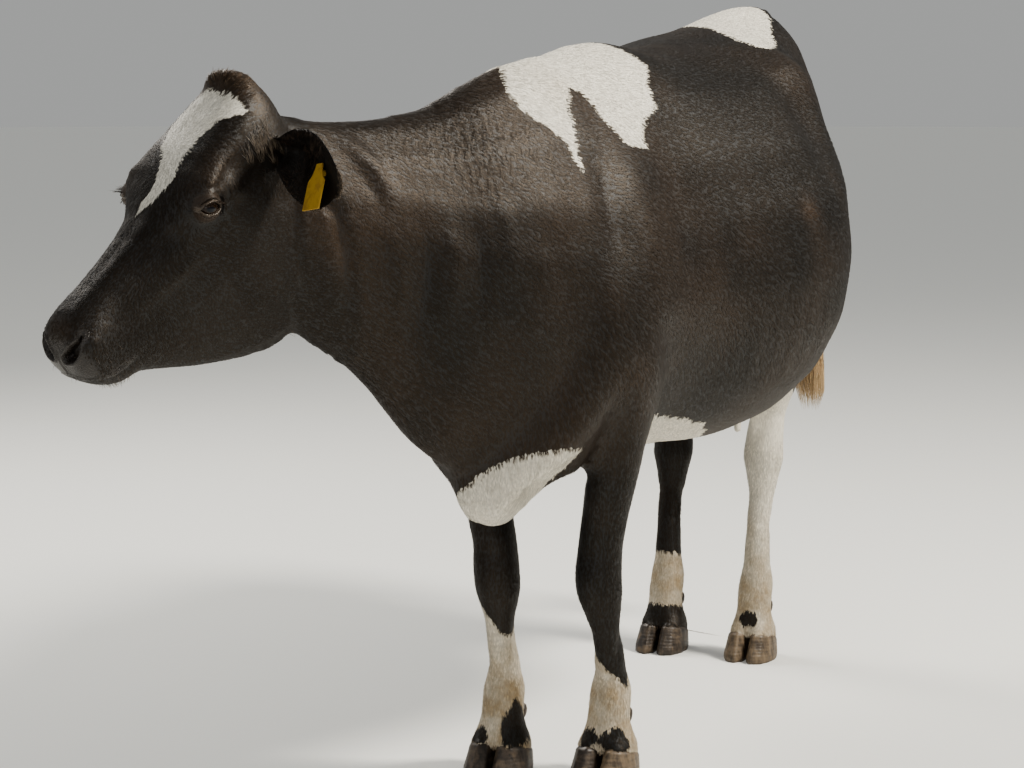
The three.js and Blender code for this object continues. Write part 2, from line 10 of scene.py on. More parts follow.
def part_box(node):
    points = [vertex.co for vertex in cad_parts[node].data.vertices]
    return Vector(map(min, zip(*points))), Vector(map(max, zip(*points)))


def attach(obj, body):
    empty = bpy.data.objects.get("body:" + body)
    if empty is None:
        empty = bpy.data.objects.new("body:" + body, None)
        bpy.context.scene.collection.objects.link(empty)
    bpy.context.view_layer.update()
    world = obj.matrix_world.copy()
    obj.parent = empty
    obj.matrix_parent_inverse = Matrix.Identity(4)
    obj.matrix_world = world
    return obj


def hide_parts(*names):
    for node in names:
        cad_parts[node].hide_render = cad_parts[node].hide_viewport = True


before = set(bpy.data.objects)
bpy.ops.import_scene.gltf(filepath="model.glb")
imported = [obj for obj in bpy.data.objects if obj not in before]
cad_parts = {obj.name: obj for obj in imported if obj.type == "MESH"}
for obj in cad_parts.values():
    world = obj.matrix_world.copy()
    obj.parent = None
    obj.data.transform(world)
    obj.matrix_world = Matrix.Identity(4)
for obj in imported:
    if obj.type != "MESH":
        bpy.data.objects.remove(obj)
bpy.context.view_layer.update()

MM = 0.001

# ---------------------------------------------------------------- frames
HEAD_TURN = np.array(
    Matrix.Rotation(math.radians(-26), 3, "Z")
    @ Matrix.Rotation(math.radians(40), 3, "X")
    @ Matrix.Rotation(math.radians(4), 3, "Y")
)
EYE = np.array([91, -206, -52]) * MM  # the left eyeball's middle, in the head's frame
POLL_IN_COW = np.array([-250, -1165, 1262]) * MM


def middle_of(node):
    return np.mean([list(corner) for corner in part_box(node)], axis=0)


POLL = middle_of("eye_left") - HEAD_TURN @ EYE
COW_AT = POLL - POLL_IN_COW


def to_head(points):
    return (points - POLL) @ HEAD_TURN


def from_head(points):
    return np.asarray(points) @ HEAD_TURN.T + POLL


def to_cow(points):
    return points - COW_AT


def on_left(points):
    """The same places mirrored to the left side, for what is alike on both."""
    return np.abs(points) * [1, 0, 0] + points * [0, 1, 1]


# ---------------------------------------------------------------- camera, light, floor
# Degrees, mm, and the camera's place in the cow's frame.
CAMERA = dict(turn=23, rise=7.6, lens=87.9, sensor=36, at=(1.69122, -4.63176, 1.32086))
SKY = (0.86, 0.87, 0.86, 1)


def camera():
    turn, rise = math.radians(CAMERA["turn"]), math.radians(CAMERA["rise"])
    back = Vector((math.sin(turn) * math.cos(rise), -math.cos(turn) * math.cos(rise), math.sin(rise)))
    right = Vector((math.cos(turn), math.sin(turn), 0))
    up = back.cross(right)
    data = bpy.data.cameras.new("camera")
    data.lens = CAMERA["lens"]
    data.sensor_width = CAMERA["sensor"]
    data.clip_end = 100
    eye = bpy.data.objects.new("camera", data)
    place = Matrix((right, up, back)).transposed().to_4x4()
    place.translation = Vector(CAMERA["at"]) + Vector(COW_AT)
    eye.matrix_world = place
    bpy.context.collection.objects.link(eye)
    bpy.context.scene.camera = eye


def area_light(name, at, aim, size, watts, colour):
    data = bpy.data.lights.new(name, "AREA")
    data.shape = "DISK"
    data.size = size
    data.energy = watts
    data.color = colour
    light = bpy.data.objects.new(name, data)
    light.location = at
    light.rotation_euler = (Vector(aim) - Vector(at)).to_track_quat("-Z", "Y").to_euler()
    bpy.context.collection.objects.link(light)


def studio():
    area_light("key", (3.8, 1.0, 4.8), (0, -0.1, 0.9), 1.3, 430, (1, 0.95, 0.86))
    area_light("fill", (1.2, -6.5, 2.2), (0, -0.4, 0.8), 4.0, 45, (0.95, 0.97, 1))
    area_light("rim", (-3.4, 1.8, 3.8), (0, -0.4, 1.1), 2.0, 150, (1, 0.96, 0.9))
    world = bpy.data.worlds.new("studio")
    world.use_nodes = True
    sky = world.node_tree.nodes["Background"].inputs
    sky["Color"].default_value = SKY
    sky["Strength"].default_value = 0.40
    bpy.context.scene.world = world
    bpy.context.scene.view_settings.look = "AgX - Medium High Contrast"
    bm = bmesh.new()
    bmesh.ops.create_circle(bm, cap_ends=True, segments=64, radius=40)
    data = bpy.data.meshes.new("floor")
    bm.to_mesh(data)
    bm.free()
    pale = Finish("floor").dress({
        "Base Color": (0.72, 0.72, 0.69, 1), "Roughness": 0.85, "Specular IOR Level": 0.1,
        "Emission Color": SKY, "Emission Strength": 0.12,
    })
    add_object("floor", data, pale)


# ---------------------------------------------------------------- node helpers
class Tree:
    """Short ways to add and join nodes."""

    def __init__(self, tree):
        self.tree = tree

    def set(self, target, value):
        if isinstance(value, bpy.types.NodeSocket):
            self.tree.links.new(value, target)
        else:
            target.default_value = value

    def add(self, kind, inputs, out=0, **settings):
        made = self.tree.nodes.new(kind)
        for key, value in settings.items():
            setattr(made, key, value)
        for key, value in inputs.items():
            self.set(made.inputs[key], value)
        return made.outputs[out]

    def maths(self, kind, a, b=0.0, c=0.0, clamp=False):
        return self.add("ShaderNodeMath", {0: a, 1: b, 2: c}, operation=kind, use_clamp=clamp)


class Finish(Tree):
    """A material and the ways that its patterns are made."""

    def __init__(self, name):
        self.material = bpy.data.materials.new(name)
        self.material.use_nodes = True
        super().__init__(self.material.node_tree)
        self.shader = self.tree.nodes["Principled BSDF"]

    def dress(self, values):
        for key, value in values.items():
            self.set(self.shader.inputs[key], value)
        return self.material

    def attribute(self, name, out="Fac"):
        return self.add("ShaderNodeAttribute", {}, out, attribute_name=name)

    def mix(self, share, a, b, way="MIX"):
        return self.add("ShaderNodeMix", {0: share, 6: a, 7: b}, 2, data_type="RGBA", blend_type=way)

    def shaded(self, colour, shade):
        grey = self.add("ShaderNodeCombineColor", {0: shade, 1: shade, 2: shade})
        return self.mix(1.0, colour, grey, "MULTIPLY")

    def place(self, scale=(1, 1, 1)):
        at = self.add("ShaderNodeTexCoord", {}, "Object")
        return self.add("ShaderNodeMapping", {"Vector": at, "Scale": scale})

    def noise(self, scale, detail=2.0, rough=0.5, stretch=(1, 1, 1)):
        inputs = {"Vector": self.place(stretch), "Scale": scale, "Detail": detail, "Roughness": rough}
        return self.add("ShaderNodeTexNoise", inputs, "Fac")

    def ramp(self, value, low, high):
        inputs = {"Value": value, "From Min": low, "From Max": high}
        return self.add("ShaderNodeMapRange", inputs, interpolation_type="SMOOTHSTEP")

    def bump(self, height, distance, strength, **inputs):
        inputs = {"Height": height, "Distance": distance, "Strength": strength, **inputs}
        return self.add("ShaderNodeBump", inputs)


# ---------------------------------------------------------------- mesh helpers
def add_object(name, data, finish=None):
    """A mesh in the scene, with its one material in place of any that it held."""
    if finish:
        data.materials.clear()
        data.materials.append(finish)
    made = bpy.data.objects.new(name, data)
    bpy.context.collection.objects.link(made)
    return made


def mesh_from(name, points, faces):
    data = bpy.data.meshes.new(name)
    data.from_pydata([tuple(p) for p in points], [], [tuple(f) for f in faces])
    data.update()
    return data


def values_of(items, key, wide=1, kind=np.float32):
    """What each of a mesh's points, corners or faces holds: a number, or a row of them."""
    flat = np.empty(len(items) * wide, kind)
    items.foreach_get(key, flat)
    return flat.reshape(-1, wide) if wide > 1 else flat


def coords(data):
    return values_of(data.vertices, "co", 3).astype(float)


def triangles_of(data):
    data.calc_loop_triangles()
    return values_of(data.loop_triangles, "vertices", 3, np.int32)


def shade_smooth(data):
    data.polygons.foreach_set("use_smooth", np.ones(len(data.polygons), bool))


@contextmanager
def edited(data):
    """A mesh opened for edits, which are stored at the end."""
    bm = bmesh.new()
    bm.from_mesh(data)
    yield bm
    bm.to_mesh(data)
    bm.free()


def evaluated(made):
    graph = bpy.context.evaluated_depsgraph_get()
    return bpy.data.meshes.new_from_object(made.evaluated_get(graph), depsgraph=graph)


def hill(points, at, reach):
    """A smooth hill of height 1 at a place, reach wide along each axis, in the points' own unit."""
    return np.exp(-(((points - np.asarray(at)) / np.asarray(reach, float)) ** 2).sum(1))


def bump(points, at, reach):
    """A hill on points in metres, with its place and reach in mm."""
    return hill(points, np.asarray(at) * MM, np.asarray(reach, float) * MM)


def ramp(value, low, high):
    """0 under low and 1 over high, smooth between."""
    t = np.clip((value - low) / (high - low), 0, 1)
    return t * t * (3 - 2 * t)


def fade(value, low, high):
    """1 under low and 0 over high, smooth between."""
    return ramp(-value, -high, -low)


def noise(points, size, seed=0):
    """Smooth random values from -1 to 1, whose hills are about size across."""
    q = np.asarray(points) / size
    cell = np.floor(q).astype(np.int64)
    t = q - cell
    t = t * t * (3 - 2 * t)
    total = 0
    for corner in np.ndindex(2, 2, 2):
        k = cell + corner
        mixed = (k[:, 0] * 73856093) ^ (k[:, 1] * 19349663) ^ (k[:, 2] * 83492791) ^ (seed * 2654435761)
        mixed = (mixed ^ (mixed >> 13)) * 1274126177 & 0xFFFFFFFF
        value = ((mixed ^ (mixed >> 16)) & 0xFFFF) / 32767.5 - 1
        total = total + value * np.prod(np.where(corner, t, 1 - t), axis=1)
    return total


def line_distance(points, line):
    """The least distance from each point to a polyline, and the share of its length there."""
    line = np.asarray(line, float)
    steps = np.diff(line, axis=0)
    lengths = np.linalg.norm(steps, axis=1)
    begun = np.concatenate([[0], np.cumsum(lengths)])
    best = np.full(len(points), np.inf)
    share = np.zeros(len(points))
    for start, step, length, before in zip(line, steps, lengths, begun):
        t = np.clip((points - start) @ step / length**2, 0, 1)
        far = np.linalg.norm(points - start - t[:, None] * step, axis=1)
        near = far < best
        best = np.where(near, far, best)
        share = np.where(near, (before + t * length) / begun[-1], share)
    return best, share


class Surface:
    """A mesh's points, with averaging over neighbours and normals, while its faces stay the same."""

    def __init__(self, data):
        self.data = data
        self.points = coords(data)
        self.a, self.b = values_of(data.edges, "vertices", 2, np.int32).T
        self.triangles = triangles_of(data)
        n = len(self.points)
        self.neighbours = np.bincount(self.a, minlength=n) + np.bincount(self.b, minlength=n)

    def mean(self, values):
        n = len(self.points)
        if values.ndim == 1:
            total = np.bincount(self.a, values[self.b], n) + np.bincount(self.b, values[self.a], n)
            return total / self.neighbours
        return np.stack([self.mean(v) for v in values.T], 1)

    def smooth(self, times, back=0.0):
        """Moves points halfway to their neighbours, and a share back. times is a count for each point."""
        for i in range(int(np.max(times))):
            share = np.clip(times - i, 0, 1)[:, None]
            self.points += share * 0.5 * (self.mean(self.points) - self.points)
            if back:
                self.points -= share * back * (self.mean(self.points) - self.points)

    def spread(self, values, times):
        for _ in range(times):
            values = 0.5 * values + 0.5 * self.mean(values)
        return values

    def normals(self):
        p = self.points[self.triangles]
        cross = np.cross(p[:, 1] - p[:, 0], p[:, 2] - p[:, 0])
        n = len(self.points)
        total = sum(
            np.stack([np.bincount(self.triangles[:, k], cross[:, axis], n) for axis in range(3)], 1)
            for k in range(3)
        )
        return total / np.maximum(np.linalg.norm(total, axis=1), 1e-12)[:, None]

    def push(self, amount):
        self.points += self.normals() * amount[:, None]

    def store(self):
        self.data.vertices.foreach_set("co", self.points.astype(np.float32).ravel())
        self.data.update()


# ---------------------------------------------------------------- skin
FLESH = [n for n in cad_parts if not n.startswith(("claw", "dewclaw", "eye", "ear_tag", "tail_switch"))]
EARS = ["ear_left", "ear_right"]
VOXEL = 0.019  # the skin's first even mesh; where form is fine it is split up to four times
HEAD_PLANE = (np.array([-0.43, -0.883, -0.193]), 0.808)
NECK_PLANE = (np.array([0, -0.955, 0.295]), 0.955)


def past(points, plane):
    """How far points lie beyond a plane that parts the flesh, in the cow's frame."""
    return to_cow(points) @ plane[0] - plane[1]


def joined(names, name):
    data = bpy.data.meshes.new(name)
    with edited(data) as bm:
        for node in names:
            bm.from_mesh(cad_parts[node].data)
    return data


def remeshed(source, size):
    """One even mesh round closed solids that touch."""
    made = add_object("remeshed", source)
    remesh = made.modifiers.new("remesh", "REMESH")
    remesh.mode = "VOXEL"
    remesh.voxel_size = size
    data = evaluated(made)
    bpy.data.objects.remove(made)
    return data


def keep_largest(bm):
    """Drops every island of faces but the largest."""
    bm.verts.index_update()
    seen = np.zeros(len(bm.verts), bool)
    islands = []
    for vert in bm.verts:
        if seen[vert.index]:
            continue
        seen[vert.index] = True
        island, stack = [vert], [vert]
        while stack:
            for edge in stack.pop().link_edges:
                for other in edge.verts:
                    if not seen[other.index]:
                        seen[other.index] = True
                        island.append(other)
                        stack.append(other)
        islands.append(island)
    islands.sort(key=len)
    bmesh.ops.delete(bm, geom=[v for island in islands[:-1] for v in island], context="VERTS")


def refine(bm, wanted):
    """Splits the faces whose middle is wanted, each into four."""
    faces = list(bm.faces)
    chosen = wanted(np.array([f.calc_center_median() for f in faces]))
    edges = list({e for f, w in zip(faces, chosen) if w and len(f.verts) <= 4 for e in f.edges})
    bmesh.ops.subdivide_edges(bm, edges=edges, cuts=1, use_grid_fill=True)


FORE_END, HIND_START = -0.36, 0.34  # along the body, where the forelegs end and the hind legs begin
TAIL_X = 0.03


def by_legs(p):
    return (p[:, 1] < FORE_END) | (p[:, 1] > HIND_START)


def slender(points):
    """Head, neck, legs, tail and udder."""
    p = to_cow(points)
    legs = by_legs(p) & (p[:, 2] < 0.70)
    tail = (p[:, 1] > 0.79) & (np.abs(p[:, 0] - TAIL_X) < 0.075)
    return legs | tail | (past(points, NECK_PLANE) > -0.04)


def on_head(points):
    return past(points, HEAD_PLANE) > -0.015


def from_eye(h):
    """How far places on the head lie from the nearer eye's middle, in mm."""
    return np.linalg.norm(on_left(h) - EYE / MM, axis=1)


def fine_face(points):
    """Round the eyes, on the muzzle and along the mouth."""
    h = to_head(points) / MM
    return (from_eye(h) < 52) | (h[:, 1] < -418)


def fine_eye(points):
    """The lids."""
    h = to_head(points) / MM
    return (from_eye(h) < 33) & (np.abs(h[:, 0]) > 84)


def finer(surface, wanted, times):
    """The surface with smaller faces where wanted, evened out there."""
    surface.store()
    with edited(surface.data) as bm:
        refine(bm, wanted)
    fine = Surface(surface.data)
    fine.smooth(times * wanted(fine.points).astype(float), back=0.35)
    return fine


def nearest_on(tree, points):
    """For each point, the nearest place on the solids and how far outside them the point lies."""
    places = np.empty_like(points)
    outside = np.empty(len(points))
    for i, point in enumerate(points):
        place, normal, _, far = tree.find_nearest(Vector(point))
        places[i] = place
        outside[i] = far if (Vector(point) - place).dot(normal) > 0 else -far
    return places, outside


def coat_depth(points):
    """How deep the skin lies inside the solids: the coat's own depth, less on the face and legs."""
    depth = np.full(len(points), 4.0)
    p = to_cow(points)
    legs = fade(p[:, 2], 0.5, 0.62) * by_legs(p)
    depth -= 1.5 * legs + 1.1 * legs * fade(p[:, 2], 0.30, 0.42)
    depth -= 2.0 * ramp(past(points, HEAD_PLANE), -0.05, 0.02)
    depth -= 1.2 * fade(to_head(points)[:, 1], -0.46, -0.40)
    return depth * MM


CLAWS = [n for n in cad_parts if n.startswith("claw")]
HORN_TOP = 0.050  # height where horn ends, at a claw's middle
HORN_FALL = 0.24  # how steeply that edge falls towards the heel
CUFF_BOTTOM = 0.042  # the flesh above starts a little lower, inside the horn


def coronet(points):
    """How far places on a foot lie above the plane where horn ends."""
    feet = np.array([middle_of(name) for name in CLAWS])
    nearest = np.linalg.norm(points[:, None, :2] - feet[None, :, :2], axis=2).argmin(1)
    return points[:, 2] - HORN_TOP + HORN_FALL * (points[:, 1] - feet[nearest, 1])


def cuffs(source):
    """Adds the part of each claw above the horn to the flesh, for the skin to cover."""
    with edited(source) as bm:
        for name in CLAWS:
            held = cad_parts[name].data.copy()
            with edited(held) as claw:
                bmesh.ops.remove_doubles(claw, verts=claw.verts, dist=0.0001)
                cut = bmesh.ops.bisect_plane(
                    claw, geom=[*claw.verts, *claw.edges, *claw.faces], clear_inner=True,
                    plane_co=(0, middle_of(name)[1], CUFF_BOTTOM), plane_no=(0, HORN_FALL, 1),
                )
                rim = [part for part in cut["geom_cut"] if isinstance(part, bmesh.types.BMEdge)]
                bmesh.ops.holes_fill(claw, edges=rim)
            bm.from_mesh(held)
            bpy.data.meshes.remove(held)


def base_skin():
    source = joined([n for n in FLESH if n not in EARS] + ["eye_left", "eye_right"], "flesh")
    cuffs(source)
    bm = bmesh.new()
    bm.from_mesh(source)
    tree = BVHTree.FromBMesh(bm)
    bm.free()
    data = remeshed(source, VOXEL)
    with edited(data) as bm:
        keep_largest(bm)
        refine(bm, slender)
        refine(bm, on_head)
    data.name = "skin"
    skin = Surface(data)
    skin.points = nearest_on(tree, skin.points)[0]
    p = to_cow(skin.points)
    slim = slender(skin.points)
    regions = {
        26: on_head(skin.points),
        34: past(skin.points, NECK_PLANE) > -0.04,
        9: (p[:, 1] > HIND_START) & (p[:, 2] > 0.5) & slim,
        5: p[:, 2] < 0.13,
        12: slim,
    }
    times = np.select(list(regions.values()), list(regions), 24)
    skin.smooth(skin.spread(times.astype(float), 6))
    for _ in range(2):
        _, outside = nearest_on(tree, skin.points)
        error = skin.spread(outside + coat_depth(skin.points), 14)
        skin.push(-error)
    return skin


# Hills and hollows of bone and muscle: place, reach and height in mm, alike on both sides.
BODY_FORMS = [
    ((262, 300, 1276), (48, 52, 40), 9),  # hook bone
    ((205, 200, 1285), (40, 90, 18), 6),  # shelf of the loin
    ((300, 170, 1205), (60, 62, 62), -13),  # hollow before the hook
    ((262, 330, 1130), (60, 70, 110), -6),
    ((225, 545, 1235), (60, 100, 50), -8),  # fall of the rump
    ((60, 712, 1372), (26, 50, 30), -9),  # beside the tail head
    ((104, 776, 1262), (34, 34, 36), 9),  # pin bone
    ((238, -690, 890), (60, 60, 84), 1),  # point of the shoulder
    ((226, -560, 1130), (20, 34, 120), 5),  # spine of the shoulder blade
    ((190, -655, 1150), (40, 34, 150), -7),  # hollow before the shoulder
    ((250, -430, 1080), (40, 34, 170), -6),  # hollow behind the shoulder
    ((238, -600, 760), (40, 70, 60), 8),  # upper arm
    ((222, -470, 722), (26, 34, 40), 9),  # elbow
    ((240, -530, 835), (34, 60, 14), -5),  # crease over the elbow
    ((250, 340, 800), (40, 60, 70), 9),  # stifle
    ((240, 255, 745), (60, 40, 60), 8),  # fold of the flank
    ((275, 180, 850), (50, 50, 90), -7),
    ((205, 690, 960), (40, 60, 150), 7),  # back of the thigh
    ((228, 610, 930), (40, 22, 170), -6),  # groove in the thigh
    ((108, 612, 585), (26, 26, 60), -6),  # hollow before the hock's cord
    ((95, -470, 600), (26, 40, 50), 4),  # forearm muscle
    ((88, -700, 568), (42, 62, 46), -24),  # arch of the brisket beside the foreleg
]
FORE_KNEES = [(107, -500, 365), (-80, -527, 365)]
HIND_HOCKS = [(76, 598, 440), (-136, 604, 440)]
HEAD_FORMS = [
    ((94, -188, -24), (16, 30, 11), 5),  # brow
    ((97, -152, -66), (16, 18, 16), 4),  # behind the eye
    ((84, -140, -34), (18, 22, 14), -5),  # hollow of the temple
    ((70, -268, -64), (18, 24, 18), -4),  # hollow before the eye
    ((68, -306, -108), (18, 56, 11), 4.5),  # facial crest
    ((26, -340, -42), (11, 90, 18), 2),  # edge of the nose bone
    ((0, -350, -42), (10, 90, 18), -1.5),
    ((60, -405, -100), (22, 26, 26), -3),  # hollow behind the nostril
    ((80, -236, -196), (20, 18, 66), -4),  # groove before the chewing muscle
    ((88, -150, -250), (26, 60, 60), 4),
    ((72, -40, -70), (24, 26, 34), 5),  # ear's root
    ((0, 6, 16), (46, 22, 22), 5),  # poll
    ((0, -15, 28), (48, 14, 20), 9),  # its thick hair, which overhangs the brow
    ((0, -120, 8), (40, 50, 20), 2),
    ((52, -440, -186), (18, 30, 16), 3),  # lower lip
    ((0, -462, -196), (34, 26, 18), 5),  # chin
]


def pushed_by(points, forms):
    return sum(height * MM * bump(on_left(points), at, reach) for at, reach, height in forms)


def ribs(p):
    """Ribs show faintly under the hide, and slope back as they go down."""
    along = p[:, 1] - 0.28 * (1.25 - p[:, 2])
    wave = np.cos(2 * np.pi * along / 0.062)
    side = ramp(np.abs(p[:, 0]), 0.17, 0.26)
    shows = ramp(p[:, 1], -0.36, -0.2) * fade(p[:, 1], 0.05, 0.2) * ramp(p[:, 2], 0.66, 0.8)
    return 1.1 * MM * wave * side * shows * fade(p[:, 2], 0.95, 1.16)


# Lines of the neck in mm, in the cow's frame: height, half width, and the places that each runs through.
NECK_LINES = [
    (7, 17, [
        (-160, -1062, 1214), (-115, -1032, 1169), (-86, -1020, 1139), (-66, -1012, 1100), (-66, -1010, 1070),
    ]),
    (-6, 12, [(-88, -1036, 1120), (-82, -1028, 1090), (-80, -1030, 1050), (-70, -1028, 1010)]),
    (-9, 12, [
        (-134, -1126, 1105), (-112, -1100, 1065), (-98, -1090, 1010), (-98, -1082, 950), (-112, -1066, 890),
    ]),
    (7, 17, [
        (-160, -1150, 1100), (-163, -1146, 1017), (-167, -1139, 969), (-179, -1119, 927), (-190, -1102, 880),
    ]),
    (6, 16, [(-60, -1035, 1040), (-40, -1015, 990), (-42, -1010, 930), (-62, -1000, 860)]),
    (-5, 13, [(-20, -985, 1060), (-10, -975, 1000), (-18, -968, 930), (-50, -950, 850)]),
    (5, 16, [(12, -955, 1120), (20, -945, 1050), (18, -935, 960), (-5, -930, 880)]),
    (-5, 13, [(38, -915, 1150), (48, -905, 1060), (46, -895, 960), (30, -885, 860)]),
    (5, 18, [(66, -875, 1180), (80, -860, 1080), (84, -850, 960)]),
    (4, 12, [(-270, -1010, 1180), (-235, -985, 1100), (-225, -965, 1000), (-215, -945, 900)]),
    (-6, 10, [(-262, -990, 1190), (-228, -955, 1100), (-215, -930, 1000), (-200, -910, 900)]),
    (-6, 10, [(-232, -940, 1190), (-205, -905, 1100), (-195, -880, 1000), (-180, -860, 900)]),
]


# The hind edge of the shoulder and arm, alike on both sides.
SHOULDER_LINES = [
    (-5.5, 19, [
        (150, -628, 1135), (165, -630, 1101), (190, -646, 1035), (210, -640, 975),
        (228, -654, 892), (236, -634, 831), (236, -600, 776), (228, -560, 718),
    ]),
    (2.5, 32, [
        (122, -662, 1127), (136, -672, 1095), (162, -694, 1035),
        (182, -694, 975), (200, -710, 892), (212, -694, 831),
    ]),
    (-5, 22, [(112, -772, 1040), (130, -776, 985), (146, -764, 915), (150, -742, 840)]),
]


def along_lines(p, lines):
    push = np.zeros(len(p))
    for height, wide, line in lines:
        far, share = line_distance(p, np.array(line) * MM)
        ends = np.sin(math.pi * np.clip(share, 0.04, 0.96)) ** 0.7
        push += height * np.exp(-((far / (wide * MM)) ** 2)) * ends
    return push


def neck_folds(points):
    """Folds of loose skin behind the jaw and down the neck, and shallow rolls between them."""
    p = to_cow(points)
    push = along_lines(p, NECK_LINES) + along_lines(on_left(p), SHOULDER_LINES)
    warped = p + 0.03 * np.stack([noise(p, 0.16, k) for k in range(3)], 1)
    rolls = noise(warped * [1, 1, 0.22], 0.045, 5)
    shows = ramp(past(points, NECK_PLANE), -0.12, 0.02) * fade(past(points, HEAD_PLANE), -0.06, 0)
    return (push + 1.2 * rolls * shows * fade(p[:, 2], 1.1, 1.2)) * MM


def joints(p):
    """Knees and hocks: bone in front, hollows beside the tendon behind."""
    push = np.zeros(len(p))
    for x, y, z in FORE_KNEES:
        push += 4 * bump(p, (x, y - 42, z + 4), (26, 18, 36))
        push -= 3 * bump(p, (x, y - 40, z + 58), (26, 22, 18))
        for out in (-1, 1):
            push += 3 * bump(p, (x + out * 40, y, z - 10), (14, 20, 20))
            push -= 3 * bump(p, (x + out * 24, y + 26, 262), (9, 10, 66))
        push += 6 * bump(p, (x + 6, y + 52, 228), (34, 26, 44))
    for x, y, z in HIND_HOCKS:
        push += 5 * bump(p, (x, y + 40, z + 14), (18, 20, 26))
        push -= 5 * bump(p, (x, y + 26, z + 90), (30, 14, 40))
        for out in (-1, 1):
            push += 3 * bump(p, (x + out * 38, y - 10, z - 6), (14, 20, 22))
            push -= 4 * bump(p, (x + out * 24, y - 26, 300), (9, 10, 80))
    push += 1.6 * fade(p[:, 2], 0.30, 0.36) * ramp(p[:, 2], 0.10, 0.15)
    return push * MM


def under_line(p):
    """Dewlap, the fold at the navel, and the cleft between the udder's quarters."""
    middle = np.exp(-((p[:, 0] + 0.03) / 0.022) ** 2)
    dewlap = 11 * middle * fade(p[:, 1], -0.78, -0.62) * fade(p[:, 2], 0.60, 0.80)
    navel = 9 * bump(p, (0, 60, 538), (20, 120, 30))
    cleft = -8 * bump(p, (0, 500, 545), (10, 90, 60))
    cross = -5 * bump(p, (0, 496, 560), (140, 10, 60))
    return (dewlap + navel + cleft + cross) * MM


def shape_body(skin):
    p = to_cow(skin.points)
    h = to_head(skin.points)
    head = ramp(past(skin.points, HEAD_PLANE), -0.05, 0.01)
    push = pushed_by(p, BODY_FORMS) * (1 - head) + ribs(p) + neck_folds(skin.points) + joints(p)
    push = push + under_line(p) * (1 - head) + pushed_by(h, HEAD_FORMS) * head
    skin.push(push)
    skin.smooth(40 * bump(on_left(p), (205, -680, 935), (70, 60, 70)))  # the point of the shoulder is plain
    skin.points[:, 0] += 8 * MM * bump(p, (107, -485, 278), (90, 90, 58))  # this cannon stands a little out


# ---------------------------------------------------------------- ears
EAR = dict(length=180, thick=6.4, rise=18, sunk=0.7)  # mm; sunk is a share of its thickness
EAR_ROWS = np.array([  # share of the length, half width and depth of the cup there, in mm
    [0, 22, 13], [0.12, 26, 19], [0.3, 44, 20], [0.5, 57, 15],
    [0.7, 61, 10], [0.86, 56, 7], [0.96, 41, 4], [1, 18, 2],
])
EAR_PLACE = {  # way out from the head, root in mm and turn in degrees, in the head's frame
    "left": (1, (69, -43, -80), (-33, 6, -14)),
    "right": (-1, (-64, -44, -76), (-36, -10, -48)),
}


def between(rows, share):
    """A smooth curve through rows of numbers."""
    last = len(rows) - 1
    place = min(share * last, last - 1e-9)
    i = int(place)
    t = place - i
    row = lambda k: rows[min(max(k, 0), last)]
    a, b, d, e = row(i - 1), row(i), row(i + 1), row(i + 2)
    return (
        (2 * t**3 - 3 * t**2 + 1) * b
        + (t**3 - 2 * t**2 + t) * (d - a) / 2
        + (3 * t**2 - 2 * t**3) * d
        + (t**3 - t**2) * (e - b) / 2
    )


def ear_frame(side):
    """Turn and place of an ear, whose length runs along X, cup opens towards -Y and width along Z."""
    _, at, turn = EAR_PLACE[side]
    return np.array(Euler([math.radians(a) for a in turn], "XYZ").to_matrix()), np.array(at) * MM


def from_ear(points, side):
    turn, at = ear_frame(side)
    return from_head(np.asarray(points) @ turn.T + at)


def to_ear(points, side):
    turn, at = ear_frame(side)
    return (to_head(points) - at) @ turn


def ear_shell(side):
    """A cupped leaf with a rolled rim and soft ribs inside, closed at the root within the head."""
    out = EAR_PLACE[side][0]
    steps, halves = 52, 22
    points, faces = [], []
    around = 2 * (halves + 1)
    for s in range(steps + 1):
        share = -0.06 + 1.06 * s / steps
        begun = max(share, 0)
        _, wide, cup = between(EAR_ROWS, begun)
        thin = (1 - 0.4 * begun) * math.sqrt(max(0.03, 1 - begun**6))
        rib_high = 1.3 * math.sin(math.pi * min(1, begun * 1.2))
        fold_deep = -4.5 * math.sin(math.pi * min(1, begun * 1.6 + 0.1))
        for face in (1, -1):
            for i in range(halves + 1):
                across = math.sin(math.pi / 2 * (-1 + 2 * i / halves)) * face
                inward = 1 - across**2
                thick = EAR["thick"] * (1 - 0.62 * across**2) * thin
                rib = rib_high * math.cos(across * 9) * inward
                fold = fold_deep * across**4
                level = 2 * cup * inward - EAR["thick"] * EAR["sunk"]
                level += thick / 2 if face > 0 else -thick / 2 + rib
                level += EAR["rise"] * share
                points.append((out * share * EAR["length"], level + fold, across * wide))
    for s in range(steps):
        for i in range(around):
            j = (i + 1) % around
            a = s * around
            faces.append((a + i, a + j, a + around + j, a + around + i))
    faces.append(tuple(range(around)))
    faces.append(tuple(steps * around + i for i in reversed(range(around))))
    data = mesh_from(f"ear_{side}", from_ear(np.array(points) * MM, side), faces)
    with edited(data) as bm:
        bmesh.ops.remove_doubles(bm, verts=bm.verts, dist=0.00015)
        split_wide_faces(bm)
        bmesh.ops.recalc_face_normals(bm, faces=bm.faces)
    return data


def split_wide_faces(bm):
    bmesh.ops.triangulate(bm, faces=[f for f in bm.faces if len(f.verts) > 4])


